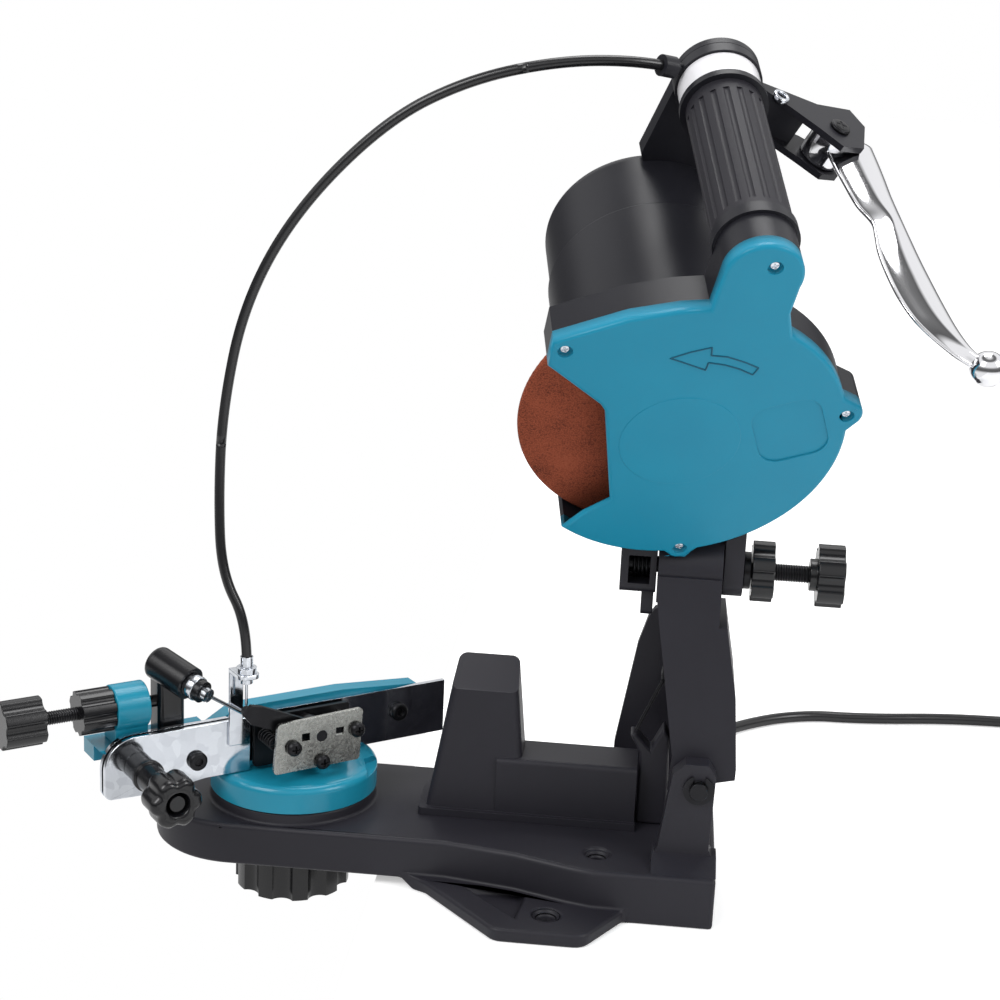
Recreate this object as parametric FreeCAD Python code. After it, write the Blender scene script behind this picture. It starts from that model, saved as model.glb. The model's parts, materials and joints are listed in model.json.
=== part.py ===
"""Chainsaw sharpener: bench grinder with a turntable chain vice, a swing arm and a hand-lever chain clamp.

Millimetres. X runs along the base (nose at -X), Y away from the operator, Z up. The origin lies midway
between the two bench bolts, on the surface that the base stands on.
"""
import FreeCAD, Part
import math
import os
from FreeCAD import Placement, Rotation, Vector

# ---------------------------------------------------------------- driving dimensions
CLEAR = 0.3                 # gap between pieces that move past each other
FIT = 0.04                  # radial clearance of a shaft in its bore

# base
DECK_TOP = 26.0
DECK_WALL = 4.0
RIB_WALL = 3.0
RIB_PITCH = 38.0
NOSE_LIFT = 4.5             # the front of the base clears the bench by this much
NOSE_X = -163.0             # centre of the round nose
NOSE_R = 46.0
REAR_X = 80.0
REAR_HALF = 65.0
HEEL_X = -67.0              # where the base comes down to the bench
EAR_REACH = 94.5
EAR_TOP = 7.0
BENCH_BOLT_Y = 75.9
BENCH_BOLT_R = 4.25
DECK_BOLT_X = 22.0
DECK_BOLT_Y = 44.0
DECK_BOLT_R = 3.5

# turntable and vice
TURN_X = -138.0
TURN_R = 43.0
PAD_R = 42.4
PAD_TOP = 32.2
TURN_TOP = 46.0
STEM_R = 8.0
VICE_X = -130.0             # origin of the vice's own frame
VICE_YAW = 37.0
RAIL_LEFT = -109.0
RAIL_RIGHT = 80.0
RAIL_LOW = 46.3
RAIL_TOP = 75.0
RAIL_WALL = 2.5
SLOT = 1.6                  # slot that the drive links hang in
FRONT_RAIL_END = -35.0
CLAMP_FACE = -24.5          # outer face of the clamp plate
JAW_TRAVEL = 1.2
STOP_Z = 86.0               # height of the chain-stop screw
STOP_D = 12.0
LOCK_KNOB_R = 29.5

# pivot and arm
PIN_X = 69.0
PIN_Z = 65.5
PIN_R = 4.5
CHEEK_IN = 38.3
CHEEK_OUT = 48.0
ARM_WALL = 4.0
ARM_FOOT_HALF = 37.5        # half width of the channel at ARM_FOOT_Z
ARM_TOP_HALF = 19.0         # half width of the channel at ARM_TOP_Z
ARM_FOOT_Z = 60.0
ARM_TOP_Z = 172.0
TILT_Z = 163.0              # height of the tilt axis
BARREL_X0 = 42.5
BARREL_X1 = 73.7
TILT_BOLT_R = 4.0

# grinding head, in its own frame: x right, y back along the spindle and z up, with the disc at y = 0
HEAD_ORIGIN = Vector(45.0, -49.0, 249.7)
HEAD_LEAN = 17.5
HEAD_TILT = 33.4
DISC_R = 72.5
DISC_W = 3.2
DISC_BORE_R = 11.1
DISC_GAP = 1.2              # between the disc's rim and the guard
GUARD_WALL = 2.2
GUARD_R = DISC_R + DISC_GAP + GUARD_WALL
GUARD_FRONT = -17.0
GUARD_SPLIT = -9.5
GUARD_REAR = 6.0
MOTOR_R = 51.0
MOTOR_STEP = 91.0
MOTOR_END = 134.0
MOTOR_WALL = 3.0
SHAFT_R = 6.0
GRIP_U = 53.0
GRIP_V = 83.8
GRIP_R = 17.8
GRIP_END = 100.0
BAND_END = 118.0
BRACKET_END = 124.0
SUPPORT_END = 128.0
CAP_WALL = 1.5
CAP_R = 17.0

# cords
CABLE_D = 5.0
CORD_D = 6.5

PARTS = "parts"
X_AXIS, Y_AXIS, Z_AXIS = Vector(1, 0, 0), Vector(0, 1, 0), Vector(0, 0, 1)


# ---------------------------------------------------------------- helpers
def export(name, shape, place=None):
    """Write one sub-part, moved from its own frame to the part's frame."""
    solid = shape.copy()
    if place is not None:
        solid.Placement = place.multiply(solid.Placement)
    if solid.ShapeType == "Compound" and len(solid.Solids) == 1:
        solid = solid.Solids[0]
    solid.exportStep(os.path.join(PARTS, name + ".step"))
    print(f"{name:18s} solids {len(solid.Solids)} valid {solid.isValid()} volume {solid.Volume:.0f}")
    return solid


def box(x0, x1, y0, y1, z0, z1):
    return Part.makeBox(x1 - x0, y1 - y0, z1 - z0, Vector(x0, y0, z0))


def rod(start, end, radius):
    """Solid cylinder from start to end."""
    start, end = Vector(*start), Vector(*end)
    return Part.makeCylinder(radius, (end - start).Length, start, end - start)


def ring(start, end, outer, inner):
    return rod(start, end, outer).cut(rod(start, end, inner))


def face_xy(points, z=0.0):
    corners = [Vector(x, y, z) for x, y in points]
    return Part.Face(Part.makePolygon(corners + corners[:1]))


def prism_xy(points, z0, z1):
    return face_xy(points, z0).extrude(Vector(0, 0, z1 - z0))


def prism_xz(points, y0, y1):
    corners = [Vector(x, y0, z) for x, z in points]
    return Part.Face(Part.makePolygon(corners + corners[:1])).extrude(Vector(0, y1 - y0, 0))


def prism_yz(points, x0, x1):
    corners = [Vector(x0, y, z) for y, z in points]
    return Part.Face(Part.makePolygon(corners + corners[:1])).extrude(Vector(x1 - x0, 0, 0))


def union(first, *others):
    shape = first
    for other in others:
        shape = shape.fuse(other)
    return shape.removeSplitter()


def minus(first, *others):
    shape = first
    for other in others:
        shape = shape.cut(other)
    return shape


def edges_along(shape, axis, test=lambda edge: True):
    """Straight edges parallel to an axis that pass a test."""
    found = []
    for edge in shape.Edges:
        if edge.Curve.TypeId != "Part::GeomLine":
            continue
        run = edge.Vertexes[-1].Point - edge.Vertexes[0].Point
        if abs(abs(run.normalize().dot(axis)) - 1) < 1e-6 and test(edge):
            found.append(edge)
    return found


def rounded(shape, axis, radius, test=lambda edge: True):
    return shape.makeFillet(radius, edges_along(shape, axis, test))


def rounded_rim(shape, radius, test):
    """Round every edge whose bounding box passes a test."""
    return shape.makeFillet(radius, [edge for edge in shape.Edges if test(edge.BoundBox)])


def helix_spring(start, axis, coil_r, wire_r, pitch, turns):
    """Open coil spring that starts at a point and climbs along an axis."""
    path = Part.makeHelix(pitch, pitch * turns, coil_r)
    section = Part.Wire(Part.makeCircle(wire_r, Vector(coil_r, 0, 0), Y_AXIS))
    coil = Part.Wire(path).makePipeShell([section], True, True)
    coil.Placement = Placement(Vector(*start), Rotation(Z_AXIS, Vector(*axis)))
    return coil


def star_knob(start, end, radius, lobes, bore):
    """Turned knob with shallow scallops round its rim, bored along its axis from start to end."""
    start, end = Vector(*start), Vector(*end)
    axis = (end - start).normalize()
    side = axis.cross(Z_AXIS)
    if side.Length < 0.1:
        side = axis.cross(X_AXIS)
    side.normalize()
    scoop_r = radius * math.sin(math.pi / lobes) * 0.7
    knob = rod(start, end, radius)
    for number in range(lobes):
        shift = Rotation(axis, 360.0 * number / lobes).multVec(side) * (radius + scoop_r * 0.5)
        knob = knob.cut(rod(start + shift - axis, end + shift + axis, scoop_r))
    return knob.cut(rod(start - axis, end + axis, bore)) if bore else knob


def cord_path(points):
    """Straight runs joined by tangent arcs, each as large as its two runs allow; also prints the radii."""
    points = [Vector(*point) for point in points]
    edges, here, radii = [], points[0], []
    for before, corner, after in zip(points, points[1:], points[2:]):
        back, ahead = (before - corner), (after - corner)
        short = min(back.Length, ahead.Length)
        back.normalize()
        ahead.normalize()
        turn = math.pi - back.getAngle(ahead)
        reach = 0.45 * short
        radius = reach / math.tan(turn / 2)
        radii.append(round(radius, 1))
        enter, leave = corner + back * reach, corner + ahead * reach
        middle_way = (back + ahead).normalize()
        middle = corner + middle_way * (radius / math.cos(turn / 2) - radius)
        edges.append(Part.LineSegment(here, enter).toShape())
        edges.append(Part.Arc(enter, middle, leave).toShape())
        here = leave
    edges.append(Part.LineSegment(here, points[-1]).toShape())
    return Part.Wire(edges), radii


def cord(name, points, diameter):
    path, radii = cord_path(points)
    start = Vector(*points[0])
    section = Part.Wire(Part.makeCircle(diameter / 2, start, Vector(*points[1]) - start))
    tube = path.makePipeShell([section], True, False)
    expected = math.pi * diameter ** 2 / 4 * path.Length
    print(f"{name}: radii {radii} volume ratio {tube.Volume / expected:.4f} length {path.Length:.0f}")
    return tube


# ---------------------------------------------------------------- frames
TABLE = Placement(Vector(TURN_X, 0, 0), Rotation(Z_AXIS, VICE_YAW))
VICE = Placement(Vector(VICE_X, 0, 0), Rotation(Z_AXIS, VICE_YAW))
HEAD = Placement(HEAD_ORIGIN, Rotation(Y_AXIS, -HEAD_LEAN).multiply(Rotation(X_AXIS, HEAD_TILT)))
HEAD_INVERSE = HEAD.inverse()


def in_head(shape):
    """Bring a shape from the part's frame into the head's own frame."""
    moved = shape.copy()
    moved.Placement = HEAD_INVERSE.multiply(moved.Placement)
    return moved


def vice_point(along, depth, height):
    return VICE.multVec(Vector(along, depth, height))


# ---------------------------------------------------------------- base
def base_footprint(z):
    """Plan of the base: round nose, straight sides and a wider rear."""
    rear = [(NOSE_X, -NOSE_R), (-53, -NOSE_R), (-18, -52.6), (9, -62), (21, -REAR_HALF),
            (REAR_X, -REAR_HALF)]
    outline = rear + [(x, -y) for x, y in reversed(rear)]
    nose = Part.Face(Part.Wire(Part.makeCircle(NOSE_R, Vector(NOSE_X, 0, z))))
    return face_xy(outline, z).fuse(nose).removeSplitter().Faces[0]


def ear(side):
    """Triangular foot with a bench-bolt hole, a raised rim and a sunk pocket."""
    reach = EAR_REACH
    plan = [(-78, -44), (-62, -52), (-24, -reach), (19, -reach), (40, -60), (40, -40)]
    pocket = [(-40, -55), (-15, -reach + 14), (-12, -60), (-14, -54)]
    foot = rounded(prism_xy(plan, 0, EAR_TOP), Z_AXIS, 9, lambda e: e.BoundBox.YMin < -reach + 1)
    foot = foot.cut(prism_xy(pocket, EAR_TOP - 3, EAR_TOP + 1))
    hole = rod((0, -BENCH_BOLT_Y, -1), (0, -BENCH_BOLT_Y, EAR_TOP + 1), BENCH_BOLT_R)
    sink = rod((0, -BENCH_BOLT_Y, EAR_TOP - 2), (0, -BENCH_BOLT_Y, EAR_TOP + 1), BENCH_BOLT_R + 2.3)
    foot = minus(foot, hole, sink)
    return foot if side < 0 else foot.mirror(Vector(0, 0, 0), Y_AXIS)


def base_casting():
    """Moulded tray, open and ribbed underneath, with the turntable pad and the bench ears."""
    plan = base_footprint(0)
    tray = plan.extrude(Vector(0, 0, DECK_TOP))
    tray = rounded_rim(tray, 2.5, lambda b: b.ZMin > DECK_TOP - 0.1 and b.XMin < REAR_X - 1)
    hollow = plan.makeOffset2D(-DECK_WALL).extrude(Vector(0, 0, DECK_TOP - DECK_WALL))
    ribs = box(NOSE_X - NOSE_R, REAR_X, -20 - RIB_WALL / 2, -20 + RIB_WALL / 2, 0, DECK_TOP - 1)
    ribs = ribs.fuse(ribs.mirror(Vector(0, 0, 0), Y_AXIS))
    at = TURN_X - RIB_PITCH
    while at < REAR_X - RIB_PITCH / 3:
        ribs = ribs.fuse(box(at - RIB_WALL / 2, at + RIB_WALL / 2, -REAR_HALF, REAR_HALF, 0, DECK_TOP - 1))
        at += RIB_PITCH
    bosses = rod((TURN_X, 0, 0), (TURN_X, 0, DECK_TOP - 1), STEM_R + 5)
    for y in (-DECK_BOLT_Y, DECK_BOLT_Y):
        bosses = bosses.fuse(rod((DECK_BOLT_X, y, 0), (DECK_BOLT_X, y, DECK_TOP - 1), DECK_BOLT_R + 4.5))
    tray = tray.cut(hollow.cut(ribs).cut(bosses))
    pad = rod((TURN_X, 0, DECK_TOP - 1), (TURN_X, 0, PAD_TOP), PAD_R)
    tray = union(tray, pad, ear(-1), ear(1))
    lift = prism_xz([(-260, -1), (HEEL_X, -1), (HEEL_X - 8, NOSE_LIFT), (-260, NOSE_LIFT)], -120, 120)
    stem_hole = rod((TURN_X, 0, -1), (TURN_X, 0, PAD_TOP + 1), STEM_R + FIT)
    tray = minus(tray, lift, stem_hole)
    for y in (-DECK_BOLT_Y, DECK_BOLT_Y):
        tray = minus(tray, rod((DECK_BOLT_X, y, -1), (DECK_BOLT_X, y, DECK_TOP + 1), DECK_BOLT_R),
                     rod((DECK_BOLT_X, y, DECK_TOP - 3), (DECK_BOLT_X, y, DECK_TOP + 1), DECK_BOLT_R + 2.5))
    return tray


BLOCK_LEFT, BLOCK_STEP, BLOCK_RIGHT = -68.0, -20.0, 39.0
BLOCK_CROWN = (-54.7, -24.0)    # left and right of the tall end at its top
BLOCK_FRONT, BLOCK_BACK = -14.0, 15.0
BLOCK_LOW_TOP = 59.0
BLOCK_TALL_TOP = 106.0


def guide_block():
    """L-shaped moulded block: a drafted tall end with a sloped top, a low run and a bead round its foot."""
    draft = 5.0

    def outline(left, right, front, back, z):
        corners = [Vector(left, front, z), Vector(right, front, z), Vector(right, back, z), Vector(left, back, z)]
        return Part.makePolygon(corners + corners[:1])

    foot = outline(BLOCK_LEFT, BLOCK_STEP + 4, BLOCK_FRONT, BLOCK_BACK, DECK_TOP)
    crown = outline(*BLOCK_CROWN, BLOCK_FRONT + draft, BLOCK_BACK - draft, BLOCK_TALL_TOP)
    tall = Part.makeLoft([foot, crown], True, True)
    upright = [e for e in tall.Edges if abs(e.Vertexes[0].Z - e.Vertexes[-1].Z) > 50]
    tall = tall.makeFillet(4.0, upright)
    front_top = BLOCK_TALL_TOP - 12.5
    slope = [(BLOCK_FRONT - 10, front_top - 7), (BLOCK_FRONT + draft, front_top),
             (BLOCK_BACK - draft, BLOCK_TALL_TOP), (BLOCK_BACK + 20, BLOCK_TALL_TOP + 13),
             (BLOCK_FRONT - 10, BLOCK_TALL_TOP + 30)]
    tall = tall.cut(prism_yz(slope, BLOCK_LEFT - 5, BLOCK_RIGHT))
    low = rounded(box(BLOCK_STEP - 12, BLOCK_RIGHT, BLOCK_FRONT, BLOCK_BACK, DECK_TOP, BLOCK_LOW_TOP),
                  X_AXIS, 3.0, lambda e: e.BoundBox.ZMin > BLOCK_LOW_TOP - 1)
    bead = rounded(box(BLOCK_LEFT - 3, BLOCK_RIGHT + 0.5, BLOCK_FRONT - 2.5, BLOCK_BACK + 2.5,
                       DECK_TOP, DECK_TOP + 4), Z_AXIS, 3.0, lambda e: e.BoundBox.XMax < 0)
    return union(tall, low, bead)


def cheek(side):
    """Pivot cheek outside the arm: an upright plate on a sloped skirt, bored for the pin."""
    plate = prism_xz([(48, DECK_TOP), (51, 34), (56, 72), (62, 78), (73, 78), (77, 72), (76, 34),
                      (REAR_X, DECK_TOP)], -CHEEK_OUT, -CHEEK_IN)
    skirt = prism_yz([(-REAR_HALF + 2.5, DECK_TOP), (-CHEEK_OUT, 31), (-CHEEK_IN, 31), (-CHEEK_IN, DECK_TOP)],
                     48.5, REAR_X)
    piece = union(plate, skirt).cut(rod((PIN_X, -70, PIN_Z), (PIN_X, 0, PIN_Z), PIN_R + 0.02))
    if side < 0:
        return piece
    piece = piece.mirror(Vector(0, 0, 0), Y_AXIS)
    fin = [(26, DECK_TOP), (26, 51), (31, 82), (35, 107), (39.5, 122), (44, 129), (49, 122), (51, 80), (52, DECK_TOP)]
    return union(piece, rounded(prism_xz(fin, CHEEK_IN, CHEEK_IN + 6), Y_AXIS, 2.0,
                                lambda e: e.BoundBox.ZMin > 100))


def spring_horn():
    """Rib between the cheeks with a V notch that the return spring's leg bears on."""
    rib = prism_xz([(BLOCK_RIGHT + 0.7, DECK_TOP), (BLOCK_RIGHT + 0.7, 64), (34, 74.5), (37.5, 74.5), (45, 66.5),
                    (51, 79), (54, 74), (55, 50), (55, DECK_TOP)], -6, 6)
    return rib.cut(box(20, BLOCK_RIGHT + 0.7, -7, 7, DECK_TOP, BLOCK_LOW_TOP + 0.3))


def pivot_pin():
    pin = rod((PIN_X, -CHEEK_OUT - 4, PIN_Z), (PIN_X, CHEEK_OUT + 4, PIN_Z), PIN_R)
    for side in (-1, 1):
        groove = side * (CHEEK_OUT + 1.0)
        pin = pin.cut(ring((PIN_X, groove - 0.6, PIN_Z), (PIN_X, groove + 0.6, PIN_Z), PIN_R + 1, PIN_R - 1))
    return pin


def e_clip(side):
    groove = side * (CHEEK_OUT + 1.0)
    clip = ring((PIN_X, groove - 0.5, PIN_Z), (PIN_X, groove + 0.5, PIN_Z), 7.5, PIN_R - 0.95)
    return clip.cut(box(PIN_X - 3, PIN_X + 3, groove - 2, groove + 2, PIN_Z + 1, PIN_Z + 10))


# ---------------------------------------------------------------- turntable and vice
def turntable():
    table = rod((0, 0, PAD_TOP + CLEAR), (0, 0, TURN_TOP), TURN_R)
    table = rounded_rim(table, 4.0, lambda b: b.ZMin > TURN_TOP - 0.1)
    step = prism_xy([(6, -80), (60, -80), (60, -10), (30, -20)], TURN_TOP - 3.0, TURN_TOP + 1)
    stem = rod((0, 0, -12), (0, 0, PAD_TOP + 1), STEM_R)
    return union(table.cut(step), stem)


def vice_bridge():
    """Cast carrier behind the rear rail; it stands on the turntable and holds the chain stop."""
    back = RAIL_WALL + SLOT / 2
    wall = prism_xz([(-70, TURN_TOP), (50, TURN_TOP), (64, 56), (64, 75), (20, 78.5), (-40, 78.5), (-58, 68),
                     (-112, 68), (-100, 56)], back, back + 9)
    foot = box(-40, 30, back + 8, back + 22, TURN_TOP, TURN_TOP + 8)
    shelf = box(-112, -52, back + 8, back + 22, 60, 68)
    web = prism_xz([(-60, TURN_TOP), (-40, TURN_TOP), (-40, 68), (-90, 68), (-90, 60)], back + 8, back + 14)
    bridge = union(wall, foot, shelf, web)
    for x, z in RAIL_BOLTS:
        bridge = bridge.cut(rod((x, back - 1, z), (x, back + 30, z), 2.6))
    return bridge


RAIL_BOLTS = ((52.0, 62.0), (-64.0, 57.0))
SCREWS = ((-21.5, 64.0), (-5.5, 54.0), (13.8, 68.0))
CAM_AT = (-5.5, 67.5)


def rail(back_face, right, bolts):
    """Flat steel rail with a rounded upper corner at the left end."""
    low_left = RAIL_LOW - 5
    plate = prism_xz([(RAIL_LEFT - 3, low_left + 3), (-85, RAIL_LOW - 3), (-60, RAIL_LOW), (right, RAIL_LOW),
                      (right, RAIL_TOP), (RAIL_LEFT - 3, RAIL_TOP)], back_face - RAIL_WALL, back_face)
    plate = rounded(plate, Y_AXIS, 16.0, lambda e: e.BoundBox.XMax < RAIL_LEFT and e.BoundBox.ZMin > RAIL_LOW)
    plate = rounded(plate, Y_AXIS, 4.0, lambda e: e.BoundBox.XMax < RAIL_LEFT and e.BoundBox.ZMin < RAIL_LOW)
    for x, z in bolts:
        plate = plate.cut(rod((x, back_face - 5, z), (x, back_face + 5, z), 2.6))
    return plate


def rail_bolt(at, front_face):
    x, z = at
    back = SLOT / 2 + RAIL_WALL + 9
    head = rod((x, front_face - 3.2, z), (x, front_face, z), 4.8)
    head = rounded_rim(head, 1.4, lambda b: b.YMax < front_face - 3.1)
    socket = rod((x, front_face - 4, z), (x, front_face - 1.6, z), 2.0)
    return union(head.cut(socket), rod((x, front_face, z), (x, back, z), 2.6))


def clamp_plate():
    """Fixed cover plate on three standoffs that the jaw slides on."""
    face, wall = CLAMP_FACE, 2.0
    plate = prism_xz([(-30, 77.5), (17.5, 79), (16, 51.2), (-32, 51)], face, face + wall)
    plate = rounded(plate, Y_AXIS, 2.0)
    for x, z in SCREWS:
        post = rod((x, face + wall, z), (x, SLOT / 2, z), 3.5)
        head = rounded_rim(rod((x, face - 2.6, z), (x, face, z), 3.6), 1.0, lambda b: b.YMax < face - 2.5)
        plate = plate.fuse(post).fuse(head.cut(rod((x, face - 3, z), (x, face - 1.2, z), 1.5)))
    plate = plate.removeSplitter()
    x, z = CAM_AT
    plate = plate.cut(rod((x, face - 1, z), (x, face + wall + 1, z), 3.0))
    for x in (-14.5, 4.5):
        plate = plate.cut(box(x - 2.2, x + 2.2, face - 1, face + wall + 1, 66.5, 70.5))
    return plate


JAW_FACE = -4.6


def jaw_plate():
    jaw = prism_xz([(-33.5, 74.6), (20, 74.6), (20, 48), (-33.5, 48)], JAW_FACE, JAW_FACE + RAIL_WALL)
    jaw = rounded(jaw, Y_AXIS, 2.0)
    for x, z in SCREWS:
        jaw = jaw.cut(rod((x, JAW_FACE - 1, z), (x, 0, z), 3.5 + FIT))
    x, z = CAM_AT
    ramp = rod((x, JAW_FACE - 3.0, z), (x, JAW_FACE, z), 5.0)
    return union(jaw, ramp)


CAM_FACE = -20.0


def cam_arm():
    """Short lever behind the cover plate: its hub wedges the jaw when the cable pulls the arm up."""
    x, z = CAM_AT
    hub = rod((x, CAM_FACE, z), (x, JAW_FACE - 3.0 - JAW_TRAVEL - CLEAR, z), 6.0)
    journal = rod((x, CLAMP_FACE + 0.2, z), (x, CAM_FACE, z), 3.0 - FIT)
    arm = prism_xz([(x, z - 4.5), (x, z + 5.5), (CABLE_S + 6, NIPPLE_Z + 3.5), (CABLE_S, NIPPLE_Z + 5),
                    (CABLE_S - 4, NIPPLE_Z), (CABLE_S, NIPPLE_Z - 5)], CAM_FACE, CAM_FACE + 3.2)
    nipple = rod((CABLE_S, CAM_FACE, NIPPLE_Z), (CABLE_S, CABLE_DEPTH + 0.3, NIPPLE_Z), 2.8)
    arm = arm.cut(rod((SCREWS[0][0], CAM_FACE - 1, SCREWS[0][1]), (SCREWS[0][0], CAM_FACE + 5, SCREWS[0][1]), 7.0))
    return union(hub, journal, arm, nipple)


CABLE_S = -42.0
CABLE_DEPTH = -13.0
NIPPLE_Z = 83.0
FERRULE_LOW, FERRULE_TOP = 98.0, 112.0


def jaw_spring():
    return helix_spring((-29.5, CLAMP_FACE + 3.0, 65.8), (0, 1, 0), 2.8, 0.5, 2.6, 6)


def cable_anchor():
    """Bent steel lug that stands on the front rail and holds the end of the cable housing."""
    top = FERRULE_LOW + 5.5
    upright = box(CABLE_S - 5.5, CABLE_S + 2.0, -SLOT / 2 - RAIL_WALL - 2.0, -SLOT / 2 - RAIL_WALL, 62, top)
    eye = box(CABLE_S - 5.5, CABLE_S + 5.5, CABLE_DEPTH - 5.5, -SLOT / 2 - RAIL_WALL, top - 2.5, top)
    lug = union(upright, eye)
    lug = rounded(lug, Z_AXIS, 3.5, lambda e: e.BoundBox.YMax < CABLE_DEPTH)
    return lug.cut(rod((CABLE_S, CABLE_DEPTH, top - 4), (CABLE_S, CABLE_DEPTH, top + 1), 3.2))


def cable_ferrule():
    """Threaded adjuster with a knurled head; the housing sits in its cup."""
    body = rod((CABLE_S, CABLE_DEPTH, FERRULE_LOW), (CABLE_S, CABLE_DEPTH, FERRULE_TOP), 3.2)
    body = body.fuse(rod((CABLE_S, CABLE_DEPTH, FERRULE_LOW + 5.5), (CABLE_S, CABLE_DEPTH, FERRULE_LOW + 8.5), 5.0)).removeSplitter()
    body = body.cut(rod((CABLE_S, CABLE_DEPTH, FERRULE_TOP - 5), (CABLE_S, CABLE_DEPTH, FERRULE_TOP + 1),
                        CABLE_D / 2 + CLEAR))
    return body.cut(rod((CABLE_S, CABLE_DEPTH, 80), (CABLE_S, CABLE_DEPTH, FERRULE_TOP), 0.9))


def inner_wire():
    return rod((CABLE_S, CABLE_DEPTH, NIPPLE_Z + 3.1), (CABLE_S, CABLE_DEPTH, FERRULE_TOP - 5.6), 0.75)


def stop_bracket():
    """Round eye on the carrier's shelf that guides the chain-stop screw."""
    eye = rod((-103, STOP_D, STOP_Z), (-86, STOP_D, STOP_Z), 11.5)
    stem = box(-103, -86, STOP_D - 6.5, STOP_D + 9, 68, STOP_Z)
    return union(eye, stem).cut(rod((-110, STOP_D, STOP_Z), (-80, STOP_D, STOP_Z), 3.0 + FIT))


def stop_screw():
    shank = rod((-143, STOP_D, STOP_Z), (-69, STOP_D, STOP_Z), 3.0)
    knob = star_knob((-158, STOP_D, STOP_Z), (-138, STOP_D, STOP_Z), 12.0, 6, 0)
    return union(shank, knob)


def stop_nut():
    return star_knob((-120, STOP_D, STOP_Z), (-103.3, STOP_D, STOP_Z), 11.0, 8, 3.0 + FIT)


def stop_post():
    """Sliding post with an inclined tube head that carries the pawl."""
    stem = rounded(box(-80, -66, 6, 20, 68 + CLEAR, 100), Z_AXIS, 3.0)
    tube_back, tube_front = Vector(-77.5, 18.17, 104.83), Vector(-68, -4, 98.5)
    head = rod(tube_back, tube_front, 8.5)
    head = rounded_rim(head, 3.0, lambda b: b.YMin > 10)
    sleeve = rod(tube_front, tube_front + (tube_front - tube_back).normalize() * 9.0, 5.6)
    return union(stem, head, sleeve).cut(rod((-87, STOP_D, STOP_Z), (-60, STOP_D, STOP_Z), 3.0 + FIT))


PAWL_AXIS = (Vector(-68, -4, 98.5) - Vector(-80, 24, 106.5)).normalize()
PAWL_AT = Vector(-68, -4, 98.5) + PAWL_AXIS * 9.3


def pawl():
    """Slotted pivot screw with the thin stop strip that hangs into the rail's top."""
    head = rod(PAWL_AT, PAWL_AT + PAWL_AXIS * 3.5, 3.6)
    start = PAWL_AT + PAWL_AXIS * 1.5
    tip = Vector(-34.4, -8.0, 75.2)
    strip = rod(start, tip, 0.9)
    slot = box(-1, 1, -6, 6, 2.4, 6)
    slot.Placement = Placement(PAWL_AT, Rotation(Z_AXIS, PAWL_AXIS))
    return union(head, strip).cut(slot)


FRONT_STUD = (-95.0, 60.0)
STUD_LONG = 34.0


def front_stud():
    x, z = FRONT_STUD
    face = -SLOT / 2 - RAIL_WALL
    tube = rod((x, face, z), (x, face - STUD_LONG, z), 7.0)
    collar = rod((x, face - 12, z), (x, face - 15, z), 8.0)
    return union(tube, collar, rod((x, face - STUD_LONG, z), (x, face - STUD_LONG - 16, z), 4.0))


def front_knob():
    x, z = FRONT_STUD
    face = -SLOT / 2 - RAIL_WALL - STUD_LONG - CLEAR
    knob = star_knob((x, face, z), (x, face - 17, z), 15.0, 6, 4.0 + FIT)
    return knob


def lock_knob():
    top = NOSE_LIFT - 3.0
    knob = star_knob((0, 0, -22), (0, 0, top - 0.6), LOCK_KNOB_R, 10, 0)
    boss = rod((0, 0, top - 4), (0, 0, top), 14.0)
    return union(knob, boss).cut(rod((0, 0, -14), (0, 0, top + 1), STEM_R + FIT))


# ---------------------------------------------------------------- swing arm
def arm_wedge(inset, x0, x1):
    """Block whose faces in Y converge upwards like the arm's plates."""
    foot, top = ARM_FOOT_HALF - inset, ARM_TOP_HALF - inset
    drop = (foot - top) / (ARM_TOP_Z - ARM_FOOT_Z)
    low, high = ARM_FOOT_Z - 20, ARM_TOP_Z + 20
    low_half, high_half = foot + 20 * drop, top - 20 * drop
    return prism_yz([(-low_half, low), (low_half, low), (high_half, high), (-high_half, high)], x0, x1)


def swing_arm():
    """Channel open towards the vice, with plates that converge to the tilt barrel."""
    outline = [(54, 59.7), (86.6, 66.7), (86.8, 72), (84.2, 106), (73.5, TILT_Z), (40.9, TILT_Z), (55.4, 75.6)]
    far_wing = [(54, 59.7), (55.4, 75.6), (46.0, 128), (47, 90), (48, 72)]
    shell = prism_xz(outline, -60, 60).common(arm_wedge(0, 0, 120))
    hollow = [(30, 50), (82.6 - ARM_WALL * 0.4, 50), (82.6, 72), (80.2, 106), (72.5, 146), (30, 146)]
    inside = prism_xz(hollow, -60, 60).common(arm_wedge(ARM_WALL, 0, 120))
    crown = rod((BARREL_X0 - 1.6, 0, TILT_Z), (BARREL_X1, 0, TILT_Z), 19.0)
    crown = crown.common(arm_wedge(0, 0, 120)).cut(box(0, BARREL_X0, -30, 30, 0, TILT_Z - 12))
    wing = prism_xz(far_wing, 0, 60).common(arm_wedge(0, 0, 120).cut(arm_wedge(ARM_WALL, 0, 120)))
    arm = union(shell.cut(inside), crown, wing)
    arm = minus(arm, box(0, BARREL_X0, -30, 30, 150, 190), box(BARREL_X1, 120, -30, 30, 140, 190))
    x, z = SPRING_AT
    post = rod((x, -30, z), (x, 30, z), 5.6).common(arm_wedge(ARM_WALL / 2, 0, 120))
    arm = union(arm, post)
    pin_hole = rod((PIN_X, -60, PIN_Z), (PIN_X, 60, PIN_Z), PIN_R + FIT + 0.02)
    bolt_hole = rod((0, 0, TILT_Z), (120, 0, TILT_Z), TILT_BOLT_R + FIT)
    return minus(arm, pin_hole, bolt_hole)


SPRING_AT = (56.0, 106.0)
SPRING_R = 7.2
SPRING_WIRE = 0.9


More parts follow.
